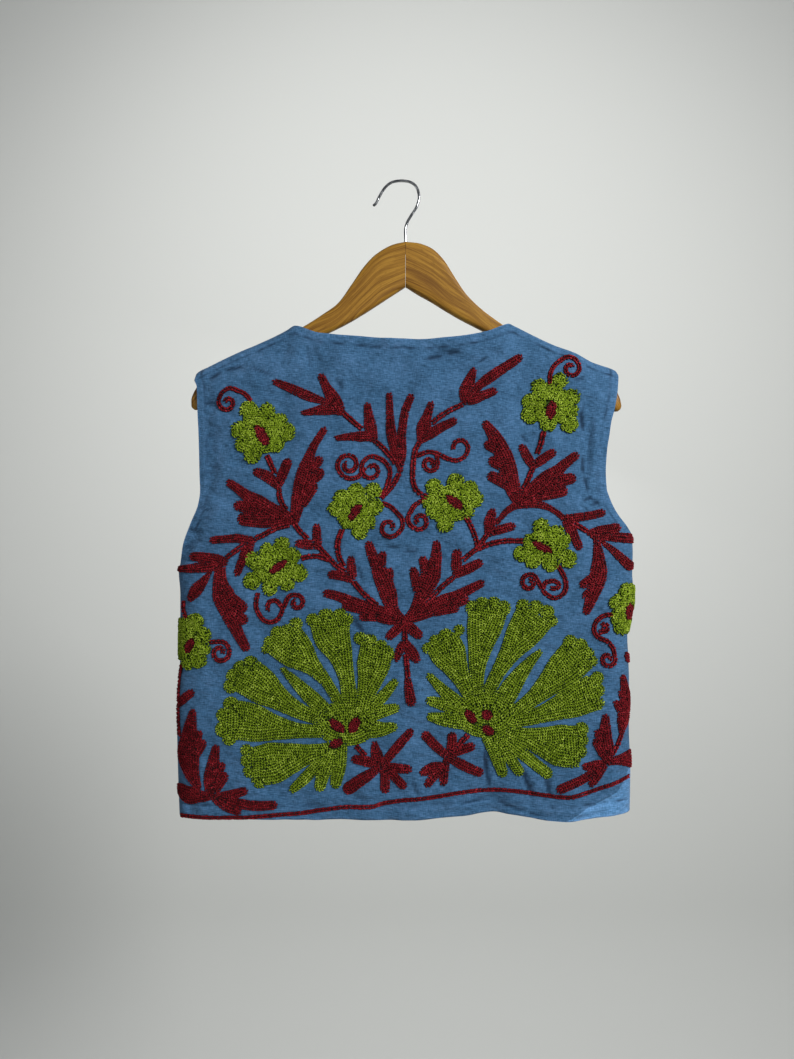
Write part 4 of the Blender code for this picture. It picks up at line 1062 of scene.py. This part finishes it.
def motifsRight():
    flower((551, 405, 22, 21), (539, 388, 9, 559.5, 381.5, 8.5, 572, 397, 8.5, 570, 411, 9, 569, 424, 9.5,
          548, 424, 8.5, 530, 415, 9.5, 531, 402, 9.5), (553, 401, 549, 420, 10.5))
    flower((453, 503, 21, 19), (456, 482, 9, 434, 487, 9, 470, 489, 8.5, 475, 499, 9, 466, 510, 9,
          445, 523, 9.5, 434, 511, 9, 431, 503, 9), (446, 496, 463, 509, 9.5))
    flower((545, 546, 21, 17), (541, 527, 9, 556, 533, 8.5, 562, 541, 9, 568, 559, 9.5, 550, 563, 9,
          533, 560, 9, 521, 554, 8.5, 531, 542, 9), (532, 542, 552, 552, 8))
    flower((625, 608, 13, 20), (627, 591, 9, 618, 603, 9.5, 619, 617, 9.5, 621, 627, 8.5),
          (629, 603, 628, 620, 8))
    spray((467, 400, 10, 478, 387, 9, 492, 376, 11, 507, 366, 10, 519, 358, 8.5), (465, 401, 9,
          466, 391, 14.5, 470, 380, 11, 473.5, 370.5, 7), (464, 402, 8, 477, 397.5, 12, 487, 394, 9.5,
          493.5, 391.5, 8.5))
    spray((421, 440, 8, 424, 427, 15, 427.5, 415, 9.5, 431, 404, 7), (421, 440, 8, 434, 431.5, 11,
          446, 425, 9.5, 453.5, 421.5, 8.5))
    spray((518, 505, 8, 511, 482, 17, 506, 462, 18, 497, 441, 15, 486, 424.5, 9), (503, 451, 14,
          489, 445, 11), (505, 466, 14, 494, 461.5, 12), (509, 484, 14, 492, 476.5, 11), (518, 504, 9,
          538, 488, 18, 554, 474, 19, 566, 463, 11, 575, 456, 9), (554, 482, 15, 571, 478.5, 11),
          (538, 495, 14, 562, 491, 12), (500, 519, 5.5, 508, 510, 7, 520, 504, 10, 536, 504, 8, 551, 509, 6,
          566, 520, 6), (566, 519, 9, 580, 517, 9, 593, 515, 8.5, 601.5, 513, 8.5), (566, 519, 10,
          571, 530, 12, 576, 540, 9.5, 578.5, 546.5, 8.5))
    spray((533, 466, 8, 527, 457, 10, 522.5, 448, 9), (533, 466, 8, 543, 459, 10, 552, 453, 9))
    spray((489, 533, 9, 490, 521, 12, 492, 512.5, 9), (489, 533, 8, 502, 529, 9.5, 511.5, 526.5, 9))
    spray((457, 574, 9, 456.5, 562, 11, 457, 553.5, 10), (457, 574, 9, 470, 567.5, 10.5, 479, 563, 9))
    spray((406, 621, 9, 414, 610, 10, 422, 594, 16, 431, 575, 20, 436, 558, 13, 436.5, 544, 8.5),
          (428, 575, 14, 423, 560, 9), (420, 590, 14, 413.5, 571, 9), (406, 621, 8, 432, 608, 15,
          450, 600, 17, 468, 590, 11, 481, 583.5, 8.5), (448, 605, 14, 465, 600, 9), (430, 612, 10,
          455, 608.5, 9), (406, 623, 9, 413, 630, 11, 418.5, 634.5, 9.5))
    spray((406, 644, 9, 412, 653, 12, 416.5, 659, 9))
    spray((407.5, 677, 6, 409, 690, 9.5, 411, 701, 11))
    spray((588, 533, 6, 602, 530.5, 10.5, 616, 528, 10), (590, 533, 6, 612, 536.5, 10, 632, 538.5, 10))
    spray((599, 540, 4.5, 610, 548, 6.5, 620, 557, 9, 629, 565.5, 10.5), (596, 538, 6, 598.5, 557, 12,
          598, 576, 18, 592, 596, 14, 586.5, 611, 8.5), (596, 578, 14, 583.5, 584, 9), (595, 590, 14,
          586, 595.5, 9))
    spray((621, 733, 5, 623, 715, 12, 625, 699, 12, 624, 687, 9, 622.5, 677, 6), (623, 712, 12, 616, 703, 7),
          (625, 701, 10, 621, 693, 7))
    spray((608, 762, 8, 605, 745, 17, 605, 731, 13, 605.5, 717, 7.5), (604, 744, 14, 598, 733, 8.5),
          (604, 751, 14, 597, 742, 10), (606, 762, 7, 617, 760, 10, 630, 758.5, 19), (607, 763, 8,
          595, 766, 12, 585.5, 766.5, 8), (600, 768, 8, 580, 780.5, 9.5, 561, 789, 10), (601, 767, 12,
          596, 776, 11, 592, 783, 8.5))
    spray((626, 654, 5, 628, 660, 6))
    spray((448, 757, 7, 436, 746, 10, 426, 735.5, 10), (448, 757, 8, 465, 766, 10.5, 479, 772, 9.5),
          (450, 754, 8, 452, 744, 10, 452, 736, 9.5), (450, 754, 8, 463, 749, 9.5, 471, 746.5, 9),
          (448, 757, 7, 446, 763, 7.5, 445, 769, 9), (445, 766, 8, 433, 768, 12, 423.5, 772, 9),
          (443, 768, 9, 433, 777, 9, 428, 783.5, 8.5), (445, 766, 8, 444, 775, 9, 443.5, 782, 8.5))
    for path in (
        (462, 405, 451, 410, 441, 416, 432, 423), (420, 441, 415, 452, 413, 466, 413, 480, 417, 491,
        428, 498), (544, 432, 541, 443, 537, 454), (533, 468, 527, 482, 520, 497), (465, 516, 471, 526,
        475, 537, 478, 547), (499, 520, 494, 525), (487, 535, 482, 542, 478, 548), (478, 549, 490, 544,
        505, 541, 523, 541), (478, 548, 471, 553, 463, 560), (454, 577, 443, 586, 432, 597, 424, 604),
        (573, 523, 583, 529, 595, 538), (621, 735, 617, 745, 611, 756), (468, 735, 463, 740, 458, 747),
    ):
        stem(path)
    curl((550, 385, 550, 375, 554, 366, 562, 359.5), (571, 368.5), 9.3, 1.3, 1)
    stem((417, 456, 428, 452, 438, 454, 447, 458.5, 456, 460.5, 464, 457, 468, 449, 465, 442, 459, 440.5,
          454, 444, 453, 450), yarn["curlRow"])
    curl((437, 455, 437.5, 462), (430, 464), 7.5, 1.2, 1)
    curl((425, 499, 415, 505, 410, 513), (419.5, 521), 9.5, 1.25, -1)
    stem((557, 565, 564, 576, 566, 587, 562, 595, 554, 598, 546, 594, 541, 587), yarn["curlRow"])
    stem((543, 588, 545, 583, 550, 581, 556, 581.5, 559, 585, 556, 588.5, 550, 588), yarn["curlRow"])
    curl((541, 587, 537, 579.5), (529.5, 582.5), 8.5, 1.2, -1)
    stem((613, 614, 603, 616, 596, 622, 594, 630, 598, 637, 607, 641, 613, 648), yarn["curlRow"])
    curl((613, 648, 614.5, 656), (608, 659), 7.5, 1.15, 1)
    curl((599, 632, 604, 631.5), (604, 627), 4, 0.9, -1)
    palmette((
        (470, 695, 14, 461, 678, 17, 453, 662, 26, 446, 649, 36, 442, 642, 36), (477, 700, 13, 477, 670, 15,
        480.5, 645, 23, 485.5, 622, 35, 488, 608, 41), (485, 700, 13, 496, 676, 14, 511, 651, 20,
        526, 629, 34, 534, 617, 41), (512, 716, 15, 533, 698, 16, 552, 681, 24, 568, 665, 36, 577, 656, 39),
        (510, 721, 15, 535, 716, 16, 558, 708, 23, 580, 698, 34, 594, 692, 37), (502, 731, 15, 525, 737, 18,
        548, 742.5, 29, 566, 746, 42, 576, 746, 42),
    ), (
        (500, 706, 22, 514, 683, 20, 528, 664, 14, 539.5, 652, 6.5), (458, 704, 16, 441, 688, 12,
        429.5, 676, 7.5), (460, 708, 20, 441, 703.5, 14, 430, 700.5, 9.5), (464, 719, 22, 444, 719, 16,
        431, 716.5, 9.5), (506, 740, 12, 528, 758, 12.5, 547, 773, 12), (502, 742, 16, 511, 759, 12.5,
        519, 771, 10.5), (492, 736, 22, 497, 756, 15, 502.5, 772, 11),
    ), (
        459, 630, 6, 446, 636, 8, 436, 642, 7.5, 428, 648, 6, 473, 608, 8, 482, 604, 7.5, 494, 604, 7.5,
        503, 608, 8, 523, 606, 7.5, 536, 607, 7.5, 547, 612, 7.5, 552, 621, 6, 570, 642, 7.5, 580, 646, 8,
        587, 654, 7.5, 592, 661, 6, 597, 678, 7, 598, 690, 7, 597, 703, 7.5, 581, 729, 7.5, 581, 740, 7.5,
        579, 751, 8, 572, 760, 8,
    ), (487, 713, 33, 25), ((465, 710, 476, 723, 9), (483, 710, 490, 719, 10.5),
        (482.5, 726, 493, 734, 9.5)))


def hemRow():
    # one row of chain above the turned hem
    line = clothAt(curveThrough((
        181, 815, 200, 817, 225, 817.5, 250, 817, 280, 814.5, 300, 813, 320, 810, 345, 807, 370, 807,
        382, 803.5, 400, 800.5, 420, 799, 440, 796, 460, 792.5, 480, 790, 500, 789.5, 525, 792, 545, 795,
        560, 797, 573, 797, 586, 793, 600, 788, 615, 783, 629, 775.5)))
    spots = along(line, yarn["stemPitch"])
    for part in (spots[spots[:, 0] < 0], spots[spots[:, 0] >= 0]):
        piece = pieceName("yarn_red", part[:, 0].mean())
        addStitches(piece, part, yarn["hemRow"], yarn["stemPitch"] * 1.15, 0.05)


def stitchMesh(name, rows, material):
    # each stitch is two slanted strands side by side; a strand is a spindle of two rings between two tips
    turn = np.linspace(0, 2 * math.pi, 4, endpoint=False)
    lengthOf = np.array([-0.5] + [-0.2] * 4 + [0.2] * 4 + [0.5])
    halfOf = np.array([0.0] + [1.0] * 8 + [0.0])
    turnOf = np.concatenate([[0], turn, turn, [0]])
    ring = np.arange(4)
    after = (ring + 1) % 4
    shape = np.concatenate([
        np.stack([0 * ring, 1 + after, 1 + ring], 1), np.stack([0 * ring + 9, 5 + ring, 5 + after], 1),
        np.stack([1 + ring, 1 + after, 5 + after], 1), np.stack([1 + ring, 5 + after, 5 + ring], 1)])
    rows = np.repeat(rows, 2, axis=0)
    hand = np.tile([1.0, -1.0], len(rows) // 2)
    a, z, way, width, pitch, lift, bend, tone = rows.T
    width = width * rng.normal(1, 0.06, len(rows))
    way = way + rng.normal(0, 0.2, len(rows))
    place = hand * yarn["spread"] * width
    a, z = a - np.sin(way) * place, z + np.cos(way) * place
    step = 0.5
    point = onCloth(a, z)
    alongA = unit(onCloth(a + step, z) - onCloth(a - step, z))
    normal = unit(np.cross(alongA, onCloth(a, z + step) - onCloth(a, z - step)))
    alongZ = np.cross(normal, alongA)
    way = way + hand * math.radians(yarn["slant"])
    ahead = alongA * np.cos(way)[:, None] + alongZ * np.sin(way)[:, None]
    across = np.cross(normal, ahead)
    size = yarn["thick"] * width
    bow = 1 - (2 * lengthOf) ** 2
    side = halfOf * np.cos(turnOf) * size[:, None] + (hand * bend * width)[:, None] * bow
    tall = halfOf * np.sin(turnOf) * (yarn["rise"] * width)[:, None]
    tall = tall + (lift + 0.25)[:, None] + 0.22 * bow
    run = lengthOf * (pitch * yarn["strand"] * rng.normal(1, 0.07, len(rows)))[:, None]
    points = (point[:, None] + ahead[:, None] * run[..., None] + across[:, None] * side[..., None]
              + normal[:, None] * tall[..., None])
    faces = (np.arange(len(rows))[:, None, None] * 10 + shape).reshape(-1, 3)
    obj = meshFrom(name, points.reshape(-1, 3), faces)
    tone = tone + rng.normal(0, yarn["uneven"], len(rows))
    setValue(obj, "tone", np.repeat(tone, 10))
    # painted highlight along the top of each strand, painted shade down its sides and underside
    setValue(obj, "crownLight", np.tile(halfOf * np.sin(turnOf), len(rows)))
    ply = lengthOf * 2.0 * finish["plyTurns"] + turnOf / (2 * math.pi)
    setValue(obj, "ply", np.tile(ply, len(rows)))
    return settle(obj, material)


motifsLeft()
motifsRight()
hemRow()
backPiece()
frontPiece("waistcoat_front_left", -1, "front_panel_left")
frontPiece("waistcoat_front_right", 1, "front_panel_right")
print("cloth ready")
for name, groups in work.items():
    isRed = name.startswith(("yarn_red", "yarn_seeds"))
    stitchMesh(name, np.concatenate(groups), yarnRed if isRed else yarnGreen)
print("yarn work ready,", sum(len(rows) for groups in work.values() for rows in groups), "stitches")


# Hanger: thickness of the board, place of its centre seam, radius of the wire, then steps of the meshes
hanger = {
    "thick": 11.0, "seamX": 4.8, "wire": 1.45, "sections": 90, "sides": 36, "wireSides": 20, "wireSteps": 170,
}

# Hanger outlines from the centre seam to the tip: x, height
leftArmTop = (
    (4.8, -62.0), (-7.2, -64.6), (-25.9, -75.0), (-38.3, -87.9), (-51.2, -106.5), (-65.1, -125.6),
    (-79.6, -136.2), (-103.4, -151.0), (-125.0, -160.6), (-146.8, -171.0), (-166.5, -179.2),
    (-190.0, -190.6), (-200.0, -196.0), (-207.2, -203.8), (-210.6, -212.0), (-214.0, -218.0),
    (-216.4, -226.0), (-216.4, -231.5),
)
leftArmBottom = (
    (4.8, -108.6), (-12.0, -119.5), (-38.3, -136.5), (-54.0, -145.8), (-70.3, -154.1), (-81.7, -159.2),
    (-103.0, -171.5), (-125.0, -183.5), (-146.8, -194.5), (-166.5, -203.5), (-178.0, -209.5),
    (-188.0, -215.5), (-195.0, -220.5), (-200.5, -226.5), (-204.5, -232.0), (-208.5, -235.2),
    (-212.5, -235.6), (-215.4, -233.6),
)
rightArmTop = (
    (4.8, -62.0), (16.5, -63.1), (31.0, -68.2), (43.4, -79.6), (54.8, -97.2), (67.2, -115.8), (81.7, -130.3),
    (97.2, -142.2), (112.0, -152.0), (135.0, -162.8), (157.2, -172.4), (179.9, -181.0), (197.5, -190.6),
    (212.0, -197.2), (218.5, -204.6), (221.8, -214.0), (226.0, -224.0), (227.8, -231.0),
)
rightArmBottom = (
    (4.8, -108.6), (17.0, -116.3), (31.0, -124.1), (46.0, -133.4), (62.0, -142.7), (75.0, -149.4),
    (87.9, -156.1), (110.0, -168.5), (135.0, -182.5), (157.2, -195.0), (175.0, -203.5), (190.0, -211.5),
    (201.0, -218.5), (209.0, -226.0), (214.0, -232.5), (218.5, -236.6), (222.8, -237.4), (226.6, -235.0),
)
# Hook wire from its end in the wood to its free end: x, height
hookLine = (
    (4.8, -74.4), (4.8, -62.0), (4.5, -49.5), (5.9, -43.4), (10.6, -34.6), (16.2, -25.6), (18.8, -15.5),
    (17.4, -7.6), (12.6, -1.4), (6.2, 1.0), (0.0, 1.45), (-7.2, 0.5), (-14.1, -3.3), (-19.0, -9.4),
    (-23.0, -16.5), (-25.8, -22.0), (-29.0, -24.8),
)


def woodGroup():
    # long growth rings drawn out along the board, with short dark pores and slow changes of colour
    tree, given, out = newGroup(
        "wood grain", {"Vector": (0, 0, 0), **dict.fromkeys(tones, (0, 0, 0, 1))}, ["Color", "Height"])
    bend = nodeIn(tree, "ShaderNodeTexNoise", {"Vector": given[0], "Scale": 14.0, "Detail": 1.0})
    shift = {0: bend.outputs["Color"], 1: (0.0, 0.022, 0.0), 2: given[0]}
    pushed = nodeIn(tree, "ShaderNodeVectorMath", shift, operation="MULTIPLY_ADD").outputs[0]
    rings, streaks, pores = (grain(tree, pushed, 1.0, stretch) for stretch in (
        (9.0, 210.0, 60.0), (26.0, 900.0, 300.0), (150.0, 2200.0, 900.0)))
    board = blend(tree, 0.42, rings, streaks, "FLOAT")
    colour = threeTones(tree, board, (0.36, 0.53), (0.5, 0.68), *given[1:4])
    feed(tree, out[0], blend(tree, mapped(tree, pores, 0.30, 0.40), given[1], colour))
    feed(tree, out[1], pores)
    return tree


def woodMaterial():
    made, tree = newMaterial("lacquered wood", Roughness=0.5, Specular_IOR_Level=0.2, Coat_Weight=0.12,
                             Coat_Roughness=0.22)
    uv = nodeIn(tree, "ShaderNodeUVMap", uv_map="grain").outputs[0]
    board = nodeIn(tree, "ShaderNodeGroup", {"Vector": uv, **tonesOf("wood")}, node_tree=woodGroup())
    dress(tree, Base_Color=board.outputs[0], Normal=bump(tree, board.outputs[1], 0.12, 0.0003))
    return made


def chromeMaterial():
    made, tree = newMaterial("chromed wire", Metallic=1.0, Roughness=0.16)
    smear = grain(tree, nodeIn(tree, "ShaderNodeTexCoord").outputs["Object"], 260.0)
    tint = colourRamp(tree, smear, (0.35, 0.65), (finish["wireDark"], finish["wireLight"]))
    dress(tree, Base_Color=tint, Roughness=mapped(tree, smear, 0.3, 0.7, 0.10, 0.26))
    return made


def resampled(line, count):
    # smooth line through the given points, at even steps
    line = np.array(line, float)
    run = runOf(line)
    at = run[-1] * np.linspace(0, 1, count)
    return np.stack([through(at, np.stack([run, line[:, k]], 1)) for k in (0, 1)], 1)


def tube(name, rings, material, node):
    # closed skin through the rings, with a fan over each end, turned so that its volume is positive
    count, sides = rings.shape[:2]
    body = np.concatenate([rings.reshape(-1, 3), [rings[0].mean(0), rings[-1].mean(0)]])
    quads = gridFaces(count, sides, ring=True)
    ring = np.arange(sides)
    after = (ring + 1) % sides
    last = (count - 1) * sides
    faces = np.concatenate([
        quads[:, [0, 1, 2]], quads[:, [0, 2, 3]], np.stack([after, ring, np.full(sides, count * sides)], 1),
        np.stack([last + ring, last + after, np.full(sides, count * sides + 1)], 1)])
    a, b, c = (body[faces[:, k]] for k in range(3))
    volume = np.einsum("ij,ij->i", a, np.cross(b, c)).sum() / 6
    return settle(meshFrom(name, body, faces[:, ::-1] if volume < 0 else faces), material, node)


def hangerArm(side, top, bottom, sign):
    # sections between the upper and lower outline: a rectangle with round corners, closed round the tip
    upper, lower = resampled(top, hanger["sections"]), resampled(bottom, hanger["sections"])
    middle, half = (upper + lower) / 2, (upper - lower) / 2
    tall = np.hypot(*half.T)[:, None]
    thick = np.minimum(hanger["thick"] / 2, np.maximum(tall * 0.75, 1.2))
    corner = np.minimum(thick * 0.92, tall * 0.92)
    turn = (np.arange(hanger["sides"]) + 0.5) * 2 * math.pi / hanger["sides"]
    c, s = np.cos(turn), np.sin(turn)
    up = (tall - corner) * np.clip(c * 8, -1, 1) + corner * c
    out = (thick - corner) * np.clip(s * 8, -1, 1) + corner * s
    x, z = (middle[:, k, None] + (half / tall)[:, k, None] * up for k in (0, 1))
    rings = np.stack([x, out, z], -1)
    rings[0, :, 0] = hanger["seamX"] + sign * 0.15
    obj = tube("hanger_" + side, rings, wood, "hanger_arm_" + side)
    run = runOf(middle)
    uv = np.stack([np.broadcast_to(run[:, None], up.shape), up + 0.4 * out], -1).reshape(-1, 2)
    uv = np.concatenate([uv, [[0, 0], [run[-1], 0]]])
    setUv(obj, "grain", uv * mm + (0.4 * (sign + 1), 0.11 * (sign + 1)))
    obj.data.set_sharp_from_angle(angle=math.radians(50))


def hookWire():
    # a round wire carried along its bent line, its free end rounded off
    line = resampled(hookLine, hanger["wireSteps"])
    run = runOf(line)
    left = np.clip((run[-1] - run) / hanger["wire"], 0, 1)
    size = hanger["wire"] * np.sqrt(np.clip(1 - (1 - left) ** 2, 0.0004, 1))
    ahead = unit(np.gradient(line, axis=0))
    turn = np.arange(hanger["wireSides"]) * 2 * math.pi / hanger["wireSides"]
    side, out = size[:, None] * np.cos(turn), size[:, None] * np.sin(turn)
    rings = [line[:, 0, None] - ahead[:, 1, None] * side, out, line[:, 1, None] + ahead[:, 0, None] * side]
    tube("hook_wire", np.stack(rings, -1), chromeMaterial(), "hanger_hook")


wood = woodMaterial()
hangerArm("left", leftArmTop, leftArmBottom, -1)
hangerArm("right", rightArmTop, rightArmBottom, 1)
hookWire()
print("hanger ready")


floor = {"height": -2300.0, "near": -6000.0, "far": 1800.0, "curve": 700.0, "top": 3500.0, "half": 6000.0}
# Lamps: place, width in metres, watts and the point they face
lamps = {
    "key": ((1300, -1500, 550), 0.55, 54.0, (0, 0, -420)),
    "fill": ((-1500, -1500, -300), 1.6, 4.5, (0, 0, -380)),
    "rear": ((300, 1500, 500), 1.5, 12.0, (0, 0, -380)),
    "wall": ((50, 500, 350), 3.0, 26.5, (200, 1800, -320)),
}


def studio():
    # pale floor that curves up far behind, and the lamps: key at the right, weak fill at the left, rear for
    # the fronts and wall for the backdrop
    scene = bpy.context.scene
    turn = np.linspace(0, math.pi / 2, 24)
    rise, reach = floor["curve"] * (1 - np.cos(turn)), floor["curve"] * (np.sin(turn) - 1)
    y = np.concatenate([[floor["near"]], floor["far"] + reach, [floor["far"]]])
    z = np.concatenate([[floor["height"]], floor["height"] + rise, [floor["top"]]])
    across = np.array([-floor["half"], floor["half"]])
    points = np.stack(np.broadcast_arrays(across[None, :], y[:, None], z[:, None]), -1)
    obj = meshFrom("floor", points.reshape(-1, 3), gridFaces(*points.shape[:2]))
    pale, _ = newMaterial("pale floor", Roughness=0.95, Specular_IOR_Level=0.1, Base_Color=finish["floor"])
    obj.data.materials.append(pale)
    world = bpy.data.worlds.new("studio air")
    world.use_nodes = True
    world.node_tree.nodes["Background"].inputs[0].default_value = (0.93, 0.96, 1.0, 1)
    world.node_tree.nodes["Background"].inputs[1].default_value = 0.27
    scene.world = world
    for name, (place, size, power, aim) in lamps.items():
        data = bpy.data.lights.new(name, "AREA")
        data.shape = "DISK"
        data.size = size
        data.energy = power
        lamp = bpy.data.objects.new(name, data)
        lamp.location = np.array(place) * mm
        x, y, z = np.array(aim) - np.array(place)
        lamp.rotation_euler = (math.atan2(math.hypot(x, y), -z), 0, math.atan2(-x, y))
        scene.collection.objects.link(lamp)
    eye = bpy.data.cameras.new("photo view")
    eye.lens = view["lens"]
    eye.sensor_width = 36.0
    camera = bpy.data.objects.new("photo view", eye)
    camera.location = (view["x"] * mm, -view["distance"] * mm, view["z"] * mm)
    camera.rotation_euler = (math.pi / 2, 0, 0)
    scene.collection.objects.link(camera)
    scene.camera = camera
    scene.view_settings.view_transform = "Standard"


studio()
print("studio ready")
